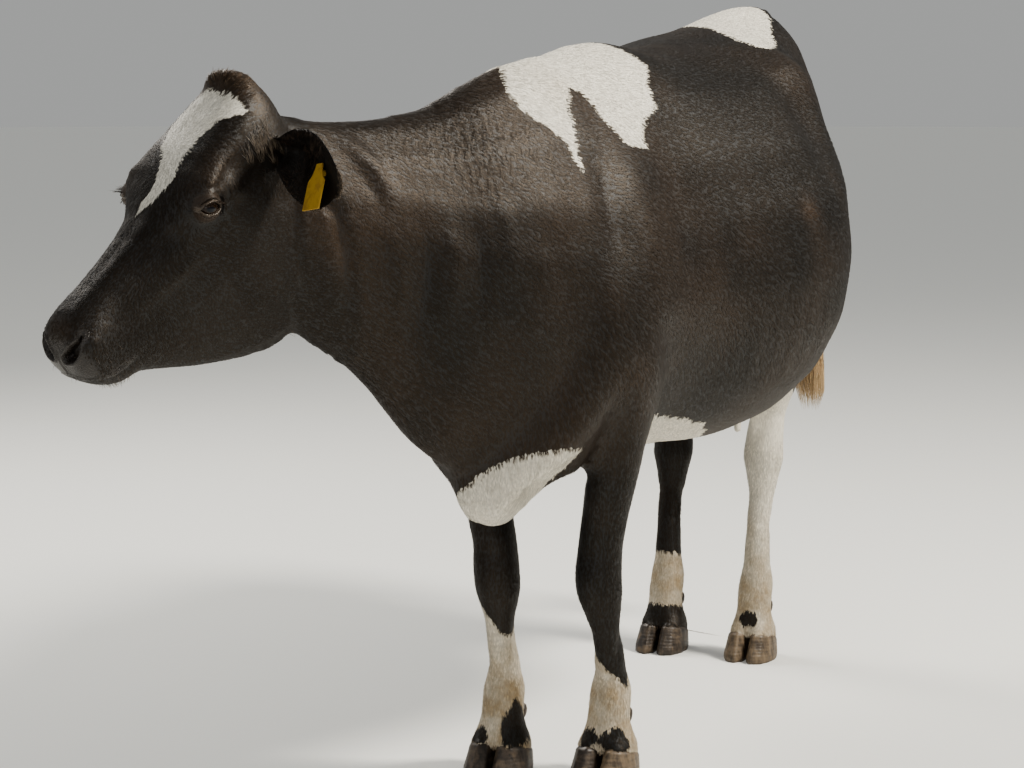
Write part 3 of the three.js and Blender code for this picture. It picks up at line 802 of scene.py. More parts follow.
def with_ears(skin):
    """Joins both ears to the skin, so that it stays one closed surface."""
    skin.store()
    with edited(skin.data) as bm:
        split_wide_faces(bm)
    host = add_object("host", skin.data)
    ears = [add_object(f"ear_{side}", ear_shell(side)) for side in EAR_PLACE]
    for ear in ears:
        join = host.modifiers.new("join", "BOOLEAN")
        join.operation = "UNION"
        join.solver = "MANIFOLD"
        join.object = ear
    data = evaluated(host)
    for made in [host, *ears]:
        bpy.data.objects.remove(made)
    data.name = "skin"
    with edited(data) as bm:
        bmesh.ops.remove_doubles(bm, verts=bm.verts, dist=0.0004)
        keep_largest(bm)
    eared = Surface(data)
    for side in EAR_PLACE:
        e = to_ear(eared.points, side) / MM
        root = np.exp(-(((np.abs(e[:, 0]) - 14) / 22) ** 2 + (e[:, 1] / 46) ** 2 + (e[:, 2] / 46) ** 2))
        eared.smooth(10 * ramp(root, 0.2, 0.7), back=0.3)
    return eared


# ---------------------------------------------------------------- eyes, nose, mouth
# The lids' own axes in the head's frame: along the slit to its back corner, up, and out.
EYE_OUT = np.array([0.975, -0.21, 0.066])
EYE_ALONG = np.array([0.211, 0.805, -0.553])
EYE_UP = np.cross(EYE_OUT, EYE_ALONG)
BALL = 20.0
LID = 2.6
SLIT = dict(middle=1.8, half=17.0, above=9.2, below=7.4)


def lid_axes(points, side):
    """Places along the slit, up and out from the eyeball's middle, in mm."""
    q = (to_head(points) * [side, 1, 1] - EYE) / MM
    return q @ EYE_ALONG, q @ EYE_UP, q @ EYE_OUT


def from_lid_axes(along, up, out, side):
    q = along[:, None] * EYE_ALONG + up[:, None] * EYE_UP + out[:, None] * EYE_OUT
    return from_head((q * MM + EYE) * [side, 1, 1])


def slit_edges(along):
    t = np.clip((along - SLIT["middle"]) / SLIT["half"], -1, 1)
    open_ = (1 - np.abs(t) ** 2.2) ** 0.75
    lean = 1 + 0.18 * t
    return SLIT["above"] * open_ * lean, -SLIT["below"] * open_ / lean


def on_ball(along, up, radius):
    """How far out a ball's front lies over places on the slit's plane."""
    return np.sqrt(np.clip(radius**2 - along**2 - up**2, 1, None))


def groove(distance, depth, half_width):
    """A sharp-bottomed furrow with a low lip on either side."""
    x = np.abs(distance) / half_width
    return -depth * np.exp(-(x**2)) + 0.35 * depth * np.exp(-((x - 2) ** 2) / 0.8)


def shape_eye(skin, side):
    a, b, c = lid_axes(skin.points, side)
    near = (c > -6) & (np.hypot(a, b) < 46)
    a, b, c = a[near], b[near], c[near]
    from_middle = np.sqrt(a**2 + b**2)
    top, bottom = slit_edges(a)
    inside = (b < top) & (b > bottom) & (np.abs(a - SLIT["middle"]) < SLIT["half"])
    # nearly on the slit's edge: put exactly on it, so that the rim is clean
    snap_top = (np.abs(b - top) < 0.9) & (top > 1)
    snap_bottom = (np.abs(b - bottom) < 0.9) & (bottom < -1)
    b = np.where(snap_top, top, np.where(snap_bottom, bottom, b))
    rim = snap_top | snap_bottom
    inside &= ~rim
    # the lids bulge over the ball
    lid = on_ball(a, b, BALL + LID) * fade(from_middle, 19, 25)
    blend = 4.0
    raised = np.logaddexp(c / blend, lid / blend) * blend
    c = c + (raised - c) * fade(from_middle, 19, 30)
    outside = np.where(b > 0, b - top, bottom - b)
    # folds: two above, two below, one behind, the crease from the front corner, and the brow over them
    reach = fade(np.abs(a - 2), 15, 25)
    upper = np.where(b > 0, groove(outside - 5.2, 3.6, 1.5), 0)
    lower = np.where(b < 0, groove(outside - 5.2, 2.0, 1.6) + groove(outside - 10.5, 1.4, 1.8), 0)
    behind = groove(np.hypot(a - 2, b * 0.8) - 25.5, 3.2, 1.9) * ramp(a, 9, 16) * fade(np.abs(b), 10, 19)
    corner_line = -1.5 - 0.06 * (a + 15) ** 2 / 6
    corner = groove(b - corner_line, 3.6, 1.7) * fade(a, -17, -12.5) * ramp(a, -37, -29) * ramp(c, -6, -3)
    swell = 1.5 * np.exp(-((outside - 2.4) / 1.9) ** 2) * (np.abs(a - SLIT["middle"]) < 18)
    brow = 7.0 * np.exp(-((a - 3) / 20) ** 2 - ((b - 22) / 7) ** 2)
    brow += 3 * np.exp(-((a - 30) / 6) ** 2 - ((b - 8) / 20) ** 2)
    c = c + (upper + lower) * reach + behind + corner + swell + brow
    c = np.where(rim, on_ball(a, b, BALL + 1.1), c)
    c = np.where(inside, on_ball(a, b, BALL) - 5, c)
    skin.points[near] = from_lid_axes(a, b, c, side)


# Lines of the muzzle, in the head's frame.
NOSTRIL = np.array([[19, -507, -97], [29, -505, -93], [40, -499, -84], [47, -487, -75], [49, -472, -72]]) * MM
MOUTH = np.array([
    [0, -511, -134], [24, -505, -137], [42, -489, -145], [52, -466, -155], [57, -436, -164], [58, -402, -168],
]) * MM
LIP_CLEFT = np.array([[0, -503, -84], [0, -512, -126]]) * MM


def nostril_size(share):
    return (6.6 + 3.0 * np.sin(np.pi * np.clip(share * 1.5, 0, 1)) - 5.2 * ramp(share, 0.45, 1)) * MM


def shape_muzzle(skin):
    near = to_head(skin.points)[:, 1] < -0.36
    normal = skin.normals()[near]
    h = to_head(skin.points[near])
    mirrored = on_left(h)
    far, share = line_distance(mirrored, NOSTRIL)
    size = nostril_size(share)
    hole = fade(far / size, 0.75, 1.15)
    rim = np.exp(-(((far / size) - 1.5) / 0.35) ** 2)
    push = -17 * hole * (1 - 0.4 * share) + 2.6 * rim * (1 - 0.5 * share)
    far, share = line_distance(mirrored, MOUTH)
    push += groove(far / MM, 4.2, 2.2) * (1 - ramp(share, 0.9, 1.0))
    far, _ = line_distance(mirrored, LIP_CLEFT)
    push += groove(far / MM, 1.6, 2.4)
    for i in range(5):  # creases round the corner of the mouth and under the chin
        crease = np.array([[60, -398 + i * 11, -190 + i * 4], [62, -404 + i * 9, -150 + i * 5]]) * MM
        push += groove(line_distance(mirrored, crease)[0] / MM, 0.9, 1.8)
    skin.points[near] += normal * push[:, None] * MM


# ---------------------------------------------------------------- markings
def inside_distance(points, outline):
    """Signed distance to a closed outline in two dimensions, positive inside."""
    outline = np.asarray(outline, float)
    closed = np.vstack([outline, outline[:1]])
    far, _ = line_distance(points, closed)
    inside = np.zeros(len(points), bool)
    for (x0, y0), (x1, y1) in zip(closed[:-1], closed[1:]):
        if y0 == y1:
            continue
        crosses = (points[:, 1] > min(y0, y1)) & (points[:, 1] <= max(y0, y1))
        at = x0 + (points[:, 1] - y0) * (x1 - x0) / (y1 - y0)
        inside ^= crosses & (points[:, 0] < at)
    return np.where(inside, far, -far)


TRUNK_MIDDLE = 0.95  # height of the line that angles round the trunk turn about
GIRTH = 0.38  # the trunk's mean radius, which turns an angle round it into a length
# Outlines over the back: along the body in metres, and the angle from the spine, left positive.
SADDLE = [
    (-0.680, -0.04), (-0.726, 0.07), (-0.721, 0.22), (-0.701, 0.31), (-0.678, 0.47), (-0.672, 0.72),
    (-0.662, 0.55), (-0.643, 0.44), (-0.618, 0.31), (-0.572, 0.24), (-0.542, 0.28), (-0.548, 0.43),
    (-0.527, 0.66), (-0.447, 0.74), (-0.461, 0.67), (-0.408, 0.55), (-0.345, 0.51), (-0.316, 0.38),
    (-0.253, 0.29), (-0.255, 0.14), (-0.28, -0.05), (-0.27, -0.28), (-0.34, -0.52), (-0.42, -0.78),
    (-0.50, -0.84), (-0.53, -0.62), (-0.57, -0.44), (-0.64, -0.52), (-0.70, -0.36), (-0.705, -0.16),
]
CROUP = [
    (0.352, 0.06), (0.310, 0.16), (0.270, 0.27), (0.268, 0.39), (0.300, 0.43), (0.401, 0.37), (0.496, 0.26),
    (0.599, 0.16), (0.70, 0.04), (0.66, -0.14), (0.58, -0.30), (0.50, -0.30), (0.455, -0.17), (0.405, -0.06),
]
BLAZE = [  # on the forehead: across and along the head, in mm
    (-40, -54), (-33, -43), (-18, -39), (8, -41), (24, -41), (30, -37), (47, -39), (61, -43), (66, -48),
    (63, -60), (57, -72), (44, -81), (39, -107), (34, -139), (33, -173), (34, -199), (22, -226), (-9, -261),
    (-3, -232), (-1, -205), (-4, -199), (-18, -164), (-43, -135), (-56, -100), (-49, -62),
]
# Upper edges of the white below: height over a place across the brisket, and along the belly.
BRISKET = [
    (-0.16, 0.53), (-0.065, 0.558), (-0.031, 0.576), (0.012, 0.615), (0.073, 0.643),
    (0.132, 0.652), (0.2, 0.62),
]
UNDERSIDE = [(-0.60, 0.675), (-0.40, 0.668), (-0.24, 0.640), (-0.15, 0.618), (-0.03, 0.574), (0.06, 0.53)]
STOCKINGS = [  # where each leg turns white: its place, the height there, and the slope across and along
    ((0.11, -0.48), 0.214, (-1.5, 0.2)),
    ((-0.08, -0.51), 0.298, (-1.5, 0.2)),
    ((0.08, 0.57), 0.60, (0.0, -0.5)),
    ((-0.13, 0.57), 0.205, (0.0, -0.3)),
]
# Dark patches low on the white feet: place and reach in mm, in the cow's frame.
SPOTS = [
    ((140, -492, 78), (30, 26, 26)), ((80, -494, 80), (22, 22, 22)), ((-48, -520, 92), (24, 44, 46)),
    ((78, 486, 92), (20, 22, 18)), ((-128, 515, 66), (74, 86, 42)), ((-112, -540, 74), (22, 24, 16)),
]
# Where the black coat is bleached brown, and where lighter brown is painted light on the brow and on the
# jaw's edge: how much, place and reach in mm, alike on both sides of the head.
WARM_AND_LIT_ON_HEAD = [
    (0.75, (20, -12, 20), (60, 40, 50)),  # poll
    (0.55, (88, -165, -20), (30, 50, 30)),  # brow: painted highlight
    (0.8, (108, -60, -230), (30, 40, 90)),  # edge of the jaw: painted sunlight
    (0.6, (8, -478, -62), (30, 22, 16)),  # above the nose leather
]
WARM_ON_BODY = [
    (0.7, (-136, 668, 520), (50, 40, 160)),  # hind edges of the hocks
    (0.5, (110, 690, 560), (50, 40, 160)),
    (0.9, (370, -20, 1020), (80, 30, 20)),  # flank
]


def white_share(points):
    """How far inside a white marking each point lies, in metres."""
    p, h = to_cow(points), to_head(points)
    angle = np.arctan2(p[:, 0], p[:, 2] - TRUNK_MIDDLE)
    unrolled = np.stack([p[:, 1], angle * GIRTH], 1)
    back = p[:, 2] > 1.0
    found = np.full(len(p), -1.0)
    for outline in (SADDLE, CROUP):
        shape = [(y, a * GIRTH) for y, a in outline]
        found = np.where(back, np.maximum(found, inside_distance(unrolled, shape)), found)
    blaze = inside_distance(h[:, :2], np.array(BLAZE) * MM)
    found = np.where((h[:, 2] > -0.07) & (past(points, HEAD_PLANE) > 0), np.maximum(found, blaze), found)
    brisket = np.interp(p[:, 0], *np.array(BRISKET).T) - p[:, 2]
    brisket = np.minimum(brisket, np.minimum(-0.660 - p[:, 1], 0.150 - p[:, 0]))
    belly = np.interp(p[:, 1], *np.array(UNDERSIDE).T) - p[:, 2]
    belly = np.minimum(belly, np.minimum(0.1 - p[:, 1], p[:, 1] + 0.40))
    found = np.where(p[:, 2] > 0.5, np.maximum.reduce([found, brisket, belly]), found)
    left = p[:, 0] > 0.015
    for (x, y), height, (across, along) in STOCKINGS:
        near = (np.hypot(p[:, 0] - x, p[:, 1] - y) < 0.20) & (p[:, 2] < 0.62) & (left == (x > 0))
        edge = height + across * (p[:, 0] - x) + along * (p[:, 1] - y)
        found = np.where(near, np.maximum(found, edge - p[:, 2]), found)
    for at, reach in SPOTS:
        far = np.linalg.norm((p / MM - at) / reach, axis=1) - 1
        found = np.minimum(found, far * min(reach) * MM)
    return found


def bleach_and_light(points):
    """How far the black coat is bleached brown, and where lighter colour is painted light: round the eyes, on
    the brow and on the jaw's edge.
    """
    p, h = to_cow(points), on_left(to_head(points) / MM)
    head = 0.12 + sum(share * hill(h, at, reach) for share, at, reach in WARM_AND_LIT_ON_HEAD)
    # painted highlight: the lids and the coat round each eye are made lighter
    for side in (1, -1):
        a, b, c = lid_axes(points, side)
        head += 0.9 * fade(np.hypot(a - 2, b), 22, 27) * (c > 0)
    neck = ramp(past(points, NECK_PLANE), -0.3, 0.1)
    body = 0.18 + 0.22 * neck + 0.35 * noise(p, 0.22, 11) + 0.2 * noise(p, 0.07, 12)
    body += sum(share * bump(p, at, reach) for share, at, reach in WARM_ON_BODY)
    return np.clip(np.where(past(points, HEAD_PLANE) > -0.02, head, body), 0, 1)


def soil_and_shade(points):
    """Dust and stain on the white of the feet, the white darker and tan from the belly line down, and a
    painted shadow on the saddle.
    """
    p = to_cow(points)
    low = fade(p[:, 2], 0.10, 0.42)
    belly = 0.25 * fade(p[:, 2], 0.6, 0.75)
    # painted shadow: a tan patch on the white of the saddle
    saddle = 0.45 * bump(p, (105, -612, 1300), (60, 50, 70))
    return np.clip(low * (0.75 + 0.35 * noise(p, 0.05, 21)) + belly + saddle, 0, 1)


def folded(points):
    """Where the fine upright wrinkles before the shoulder show."""
    return bump(on_left(to_cow(points) + [0.02, 0, 0]), (70, -835, 1165), (110, 105, 90))


def ear_row(out, column):
    """The half width (1) or the cup's depth (2) of an ear, at places out along it in mm."""
    return np.interp(out / EAR["length"], EAR_ROWS[:, 0], EAR_ROWS[:, column])


def by_ear(e, beyond=0):
    """Whether places in an ear's frame, in mm, are near enough to be of that ear."""
    return (np.abs(e[:, 2]) < 64 + beyond) & (np.abs(e[:, 1] - 20) < 52 + beyond)


def ear_share(points):
    """1 on the ears, 0 on the head, and how far each point lies along the nearer ear and out of its cup."""
    on, along, depth = np.zeros((3, len(points)))
    for side in EAR_PLACE:
        e = to_ear(points, side) / MM
        out = e[:, 0] * EAR_PLACE[side][0]
        near = ramp(out, 8, 30) * by_ear(e)
        cup = 2 * ear_row(out, 2) * (1 - (e[:, 2] / ear_row(out, 1)) ** 2)
        cup = cup - EAR["thick"] * EAR["sunk"] + EAR["rise"] * out / EAR["length"]
        on = np.maximum(on, near)
        along = np.where(near > 0, out / EAR["length"], along)
        depth = np.where(near > 0, e[:, 1] - cup, depth)
    return on, along, depth


def bareness(points):
    """1 on the wet nose leather, the nostrils, the lips and the rims of the lids."""
    h = to_head(points) / MM
    mirrored = on_left(h)
    nose = fade(h[:, 1], -497, -484) * ramp(h[:, 2], -140, -134) * fade(h[:, 2], -72, -62)
    hole = fade(line_distance(mirrored * MM, NOSTRIL)[0], 0.008, 0.013)
    lips = fade(line_distance(mirrored * MM, MOUTH)[0], 0.005, 0.009)
    lids = 0
    for side in (1, -1):
        a, b, c = lid_axes(points, side)
        top, bottom = slit_edges(a)
        gap = np.maximum(np.maximum(b - top, bottom - b), np.abs(a - SLIT["middle"]) - 18.5)
        lids = np.maximum(lids, fade(gap, 3.4, 5.2) * (c > 0) * (np.hypot(a, b) < 28))
    return np.clip(np.maximum.reduce([nose, hole, lips, lids]), 0, 1)


def lie_of_hair(points, normals):
    """The way that the coat lies: back and down over the body, down the legs, out from the brow."""
    p, h = to_cow(points), to_head(points)
    lie = np.tile([0.0, 1.0, -0.42], (len(p), 1))
    for share, way in (
        (fade(p[:, 2], 0.62, 1.0), (0, 0.55, -0.85)),  # lower trunk
        (fade(p[:, 2], 0.55, 0.68) * by_legs(p), (0, 0.12, -1.0)),
        (ramp(past(points, NECK_PLANE), -0.05, 0.1), (0.34, 0.78, -0.52)),
        ((p[:, 1] > 0.80) & (np.abs(p[:, 0] - TAIL_X) < 0.07), (0, 0.1, -1.0)),
    ):
        lie = lie * (1 - share[:, None]) + np.array(way) * share[:, None]
    whorl = h[:, :2] - np.array([0, -0.150])
    away = whorl / np.maximum(np.linalg.norm(whorl, axis=1), 1e-4)[:, None]
    none = np.zeros(len(h))
    brow = np.column_stack([away, none])
    down = np.column_stack([none, -0.25 + 0.9 * ramp(h[:, 1], -0.42, -0.2), none - 0.8])
    cheek = fade(h[:, 2], -0.11, -0.05)[:, None]
    face = brow * (1 - cheek) + down * cheek
    head = ramp(past(points, HEAD_PLANE), -0.03, 0.03)[:, None]
    lie = lie * (1 - head) + (face @ HEAD_TURN.T) * head
    for side in EAR_PLACE:
        e = to_ear(points, side) / MM
        out = EAR_PLACE[side][0]
        on = (ramp(e[:, 0] * out, 14, 34) * by_ear(e, 2))[:, None]
        lie = lie * (1 - on) + in_head(ear_frame(side)[0] @ np.array([out, 0, -0.25])) * on
    lie += 0.10 * np.stack([noise(p, 0.11, 31 + k) for k in range(3)], 1)
    lie -= normals * (lie * normals).sum(1)[:, None]
    return lie / np.maximum(np.linalg.norm(lie, axis=1), 1e-6)[:, None]


def lock_sizes(points):
    """Width, length and lift of a lock of the coat, in metres, and how many stand on a square metre."""
    p, h = to_cow(points), to_head(points) / MM
    head = ramp(past(points, HEAD_PLANE), -0.04, 0.02)
    near_eye = -from_eye(h)
    on_ear, _, depth = ear_share(points)
    udder = (p[:, 1] > 0.36) * (p[:, 1] < 0.70) * fade(np.abs(p[:, 0]), 0.12, 0.15)
    udder = udder * fade(p[:, 2], 0.66, 0.74) * (p[:, 2] > 0.47)
    size = np.tile([1.5, 14.0, 0.7], (len(p), 1))
    crowd = np.full(len(p), 50000.0)
    for share, lock, number in (
        (fade(p[:, 2], 0.55, 0.68) * by_legs(p), (1.4, 10, 0.8), 62000),
        (ramp(past(points, NECK_PLANE), -0.05, 0.05), (1.5, 13, 0.7), 52000),
        (head, (1.3, 8.5, 0.6), 84000),
        (head * fade(h[:, 1], -440, -330), (1.1, 5.5, 0.6), 110000),  # muzzle
        (head * ramp(near_eye, -48, -26), (0.9, 4.5, 0.4), 110000),  # round the eye
        (head * ramp(near_eye, -31, -24), (0.8, 3.0, 0.3), 50000),  # lids
        (head * hill(on_left(h), (0, -10, 20), (50, 46, 40)), (1.5, 14, 1.1), 90000),  # poll
        (on_ear, (1.4, 9, 0.8), 80000),
        (udder, (1.2, 8, 1.2), 9000),
    ):
        size = size * (1 - share[:, None]) + np.array(lock) * share[:, None]
        crowd = crowd * (1 - share) + number * share
    teats = udder * fade(p[:, 2], 0.53, 0.55)
    crowd = crowd * (1 - teats) * (1 - bareness(points))
    crowd = crowd * (1 - 0.9 * on_ear * fade(depth, -2, 0))
    return size * MM, crowd


ZONES = [  # the coat's pieces
    "head", "neck", "shoulder_left", "shoulder_right", "flank_left", "flank_right",
    "rump_left", "rump_right", "forelegs", "hind_legs",
]


def zone_of(points):
    """The number in ZONES of the piece that places belong to."""
    p = to_cow(points)
    low = p[:, 2] < 0.60
    trunk = np.where(p[:, 1] < -0.26, 2, np.where(p[:, 1] < 0.29, 4, 6)) + (p[:, 0] < 0)
    head, neck = past(points, HEAD_PLANE) > 0, past(points, NECK_PLANE) > 0
    fore, hind = low & (p[:, 1] < FORE_END), low & (p[:, 1] > HIND_START)
    return np.select([head, fore, hind, neck], [0, 8, 9, 1], trunk)


def put(data, name, values, domain="POINT"):
    """Stores numbers or vectors on a mesh under a name."""
    values = np.asarray(values)
    whole = values.dtype.kind == "i"
    kind = "INT" if whole else "FLOAT_VECTOR" if values.ndim > 1 else "FLOAT"
    held = data.attributes.new(name, kind, domain)
    key = "vector" if values.ndim > 1 else "value"
    held.data.foreach_set(key, np.ascontiguousarray(values, np.int32 if whole else np.float32).ravel())


def mark_skin(surface):
    data = surface.data
    points, normals = surface.points, surface.normals()
    size, crowd = lock_sizes(points)
    for name, values in dict(
        patch=white_share(points), warm_and_lit=bleach_and_light(points), soil_and_shade=soil_and_shade(points), folded=folded(points),
        bare=bareness(points), lie=lie_of_hair(points, normals), level=normals, lock=size, crowd=crowd,
    ).items():
        put(data, name, values)
    put(data, "zone", zone_of(values_of(data.polygons, "center", 3).astype(float)), "FACE")


UV = "OFBake"


def unwrap(made):
    """Lays the skin out flat by the way its faces point."""
    bpy.ops.object.select_all(action="DESELECT")
    made.select_set(True)
    bpy.context.view_layer.objects.active = made
    made.data.uv_layers.active = made.data.uv_layers.new(name=UV)
    bpy.ops.object.mode_set(mode="EDIT")
    bpy.ops.mesh.select_all(action="SELECT")
    bpy.ops.uv.smart_project(angle_limit=1.15, island_margin=0.002, scale_to_bounds=True)
    bpy.ops.object.mode_set(mode="OBJECT")


def uv_of(data):
    return values_of(data.uv_layers[UV].uv, "vector", 2)


# ---------------------------------------------------------------- coat
PATCH_SIZE = 0.003  # a lock's room on the map
BEND = 0.42  # the share of a blade's length where it is widest and bends over
# A lock is two blades, each a kite that rises from the skin, bends over and comes back to it.
# Across, start, length, width and lean, as shares of the lock's own size.
BLADES = [(-0.34, 0.0, 1.0, 0.72, -0.22), (0.34, 0.10, 0.86, 0.66, 0.24)]


def lock_mesh():
    points, faces = [], []
    for middle, start, long, wide, lean in BLADES:
        k = len(points)
        bent, half = middle + lean * 0.4, wide / 2
        points += [
            (middle, start, -0.35),
            (bent - half, start + BEND * long, 0.9),
            (bent + half, start + BEND * long, 0.9),
            (middle + lean, start + long, 0.45),
        ]
        faces += [(k, k + 2, k + 1), (k + 1, k + 2, k + 3)]
    return mesh_from("lock", points, faces)


def coat_tree():
    """Stands locks on one zone of the skin along the lie of the hair, each turned and sized at random."""
    group = bpy.data.node_groups.new("coat", "GeometryNodeTree")
    for name, kind in dict(
        Skin="Geometry", Lock="Object", Zone="Int", Ruffle="Float", Uneven="Float", Finish="Material",
    ).items():
        group.interface.new_socket(name=name, in_out="INPUT", socket_type=f"NodeSocket{kind}")
    group.interface.new_socket(name="Coat", in_out="OUTPUT", socket_type="NodeSocketGeometry")
    t = Tree(group)

    def named(name, kind="FLOAT_VECTOR"):
        return t.add("GeometryNodeInputNamedAttribute", {"Name": name}, "Attribute", data_type=kind)

    def scaled(vector, scale):
        return t.add("ShaderNodeVectorMath", {0: vector, "Scale": scale}, operation="SCALE")

    given = group.nodes.new("NodeGroupInput").outputs
    inputs = {2: named("zone", "INT"), 3: given["Zone"]}
    here = t.add("FunctionNodeCompare", inputs, data_type="INT", operation="EQUAL")
    inputs = {"Mesh": given["Skin"], "Selection": here, "Density": named("crowd", "FLOAT"), "Seed": 11}
    roots = t.add("GeometryNodeDistributePointsOnFaces", inputs, "Points")
    inputs = {0: roots.node.outputs["Normal"], 1: named("lie")}
    upright = t.add("FunctionNodeAxesToRotation", inputs, primary_axis="Z", secondary_axis="Y")
    most = scaled((0.25, 0.5, 1.0), given["Ruffle"])
    inputs = {0: scaled(most, -1), 1: most, "Seed": 12}
    stray = t.add("FunctionNodeRandomValue", inputs, data_type="FLOAT_VECTOR")
    stray = t.add("FunctionNodeEulerToRotation", {0: stray})
    turn = t.add("FunctionNodeRotateRotation", {0: upright, 1: stray}, rotation_space="LOCAL")
    least, most = t.maths("SUBTRACT", 1.0, given["Uneven"]), t.maths("ADD", 1.0, given["Uneven"])
    vary = t.add("FunctionNodeRandomValue", {2: least, 3: most, "Seed": 13}, 1, data_type="FLOAT")
    lock = t.add("GeometryNodeObjectInfo", {"Object": given["Lock"]}, "Geometry")
    inputs = {"Points": roots, "Instance": lock, "Rotation": turn, "Scale": scaled(named("lock"), vary)}
    locks = t.add("GeometryNodeRealizeInstances", {0: t.add("GeometryNodeInstanceOnPoints", inputs)})
    done = t.add("GeometryNodeSetMaterial", {"Geometry": locks, "Material": given["Finish"]})
    t.set(group.nodes.new("NodeGroupOutput").inputs[0], done)
    return group


def set_input(modifier, name, value):
    items = modifier.node_group.interface.items_tree
    key = next(i.identifier for i in items if i.name == name and i.in_out == "INPUT")
    modifier[key] = value


def lay_on_map(data, uv):
    """Gives each corner of a mesh its point's place on the map."""
    corner = values_of(data.loops, "vertex_index", 1, np.int32)
    data.uv_layers.new(name=UV, do_init=False).uv.foreach_set("vector", uv[corner].astype(np.float32).ravel())


def finish_locks(data, rng):
    """Gives each lock its own shade, the share along its blades and its patch of the map."""
    blades = len(data.vertices) // 4
    put(data, "tone", np.repeat(rng.random(blades // len(BLADES)), 4 * len(BLADES)))
    put(data, "along", np.tile([0, BEND, BEND, 1], blades))
    local = np.tile([[0.5, 0], [0.2, BEND], [0.8, BEND], [0.5, 1]], (blades, 1))
    uv = read(data, "root_uv")[:, :2] + (local - 0.5) * PATCH_SIZE
    for name in ("root_uv", "lie", "lock", "crowd", "zone", "bare", UV):
        if name in data.attributes:
            data.attributes.remove(data.attributes[name])
    lay_on_map(data, uv)
    shade_smooth(data)


def coat(skin, finish):
    host = add_object("coat_host", skin.data.copy())
    flat = uv_of(host.data)
    put(host.data, "root_uv", np.column_stack([flat, np.zeros(len(flat))]), "CORNER")
    lock = add_object("lock", lock_mesh())
    modifier = host.modifiers.new("coat", "NODES")
    modifier.node_group = coat_tree()
    for name, value in dict(Lock=lock, Ruffle=0.12, Uneven=0.28, Finish=finish).items():
        set_input(modifier, name, value)
    pieces = []
    for k, zone in enumerate(ZONES):
        set_input(modifier, "Zone", k)
        host.update_tag()
        data = evaluated(host)
        finish_locks(data, np.random.default_rng(100 + k))
        pieces.append(add_object(f"coat_{zone}", data, finish))
    bpy.data.objects.remove(host)
    bpy.data.objects.remove(lock)
    return pieces


# ---------------------------------------------------------------- long hair
def unit(vectors):
    return vectors / np.maximum(np.linalg.norm(vectors, axis=-1, keepdims=True), 1e-9)


def read(data, name):
    held = data.attributes[name]
    if held.data_type == "FLOAT_VECTOR":
        return values_of(held.data, "vector", 3)
    return values_of(held.data, "value")


class Hide:
    """The finished skin, asked where hairs stand: places, normals, lie, places on the map, markings."""

    def __init__(self, surface, data):
        self.points, self.normals = surface.points, surface.normals()
        self.corners = triangles_of(data)
        self.flat = uv_of(data)[values_of(data.loop_triangles, "loops", 3, np.int32)]
        self.held = {name: read(data, name) for name in ("lie", "patch", "warm_and_lit", "soil_and_shade")}
        p = self.points[self.corners]
        self.area = np.linalg.norm(np.cross(p[:, 1] - p[:, 0], p[:, 2] - p[:, 0]), axis=1)
        self.tree = BVHTree.FromPolygons([tuple(q) for q in self.points], self.corners.tolist())

    def at(self, face, share):
        corner = self.corners[face]
        mean = lambda values: np.einsum("nk,nk...->n...", share, values)
        found = {name: mean(values[corner]) for name, values in self.held.items()}
        found["at"] = mean(self.points[corner])
        found["normal"] = unit(mean(self.normals[corner]))
        found["flat"] = mean(self.flat[face])
        return found

    def drawn(self, weight, count, rng):
        """Places drawn at random, thickest where the weight of the skin's points is high."""
        chance = self.area * np.clip(weight, 0, None)[self.corners].mean(1)
        face = rng.choice(len(chance), count, p=chance / chance.sum())
        return self.at(face, rng.dirichlet([1, 1, 1], count))

    def beside(self, places):
        """Given places, with what the skin next to them holds."""
        face = np.array([self.tree.find_nearest(Vector(q))[2] for q in places])
        found = self.at(face, np.full((len(face), 3), 1 / 3))
        found["at"] = np.asarray(places)
        return found


def hair_paths(roots, length, rng, rise=0.3, fall=0.3, wave=0.0, gather=0, way=None, stray=0.12):
    """The line of each hair: it leaves the skin at an angle, bends down and gathers with others in locks.

    length is in metres, rise and fall in radians. gather is how many hairs share a lock, and way the
    direction that they lie in, in place of the coat's own.
    """
    count, steps = len(roots["at"]), 5
    size = length * np.clip(1 + 0.25 * rng.standard_normal(count), 0.5, 1.5)
    lie = unit(roots["lie"] if way is None else np.broadcast_to(way, (count, 3)).astype(float))
    heading = lie * math.cos(rise) + roots["normal"] * math.sin(rise)
    heading = unit(heading + stray * rng.standard_normal((count, 3)))
    side = unit(np.cross(heading, roots["normal"]) + 1e-6)
    phase = rng.random(count) * 2 * math.pi
    line = [roots["at"] - 0.0012 * roots["normal"]]
    for s in range(steps):
        heading = unit(heading + np.array([0, 0, -fall / steps]))
        swing = wave * np.cos(phase + 2.2 * s)[:, None] * side
        line.append(line[-1] + (heading + swing) * (size / steps)[:, None])
    line = np.stack(line, 1)
    if gather:
        leaders = rng.choice(count, max(1, count // gather), replace=False)
        far = np.linalg.norm(roots["at"][:, None] - roots["at"][leaders][None], axis=2)
        leader = leaders[far.argmin(1)]
        pull = (np.linspace(0, 1, steps + 1) ** 1.3 * 0.75)[None, :, None]
        line = line + pull * (line[leader] - line)
    return line


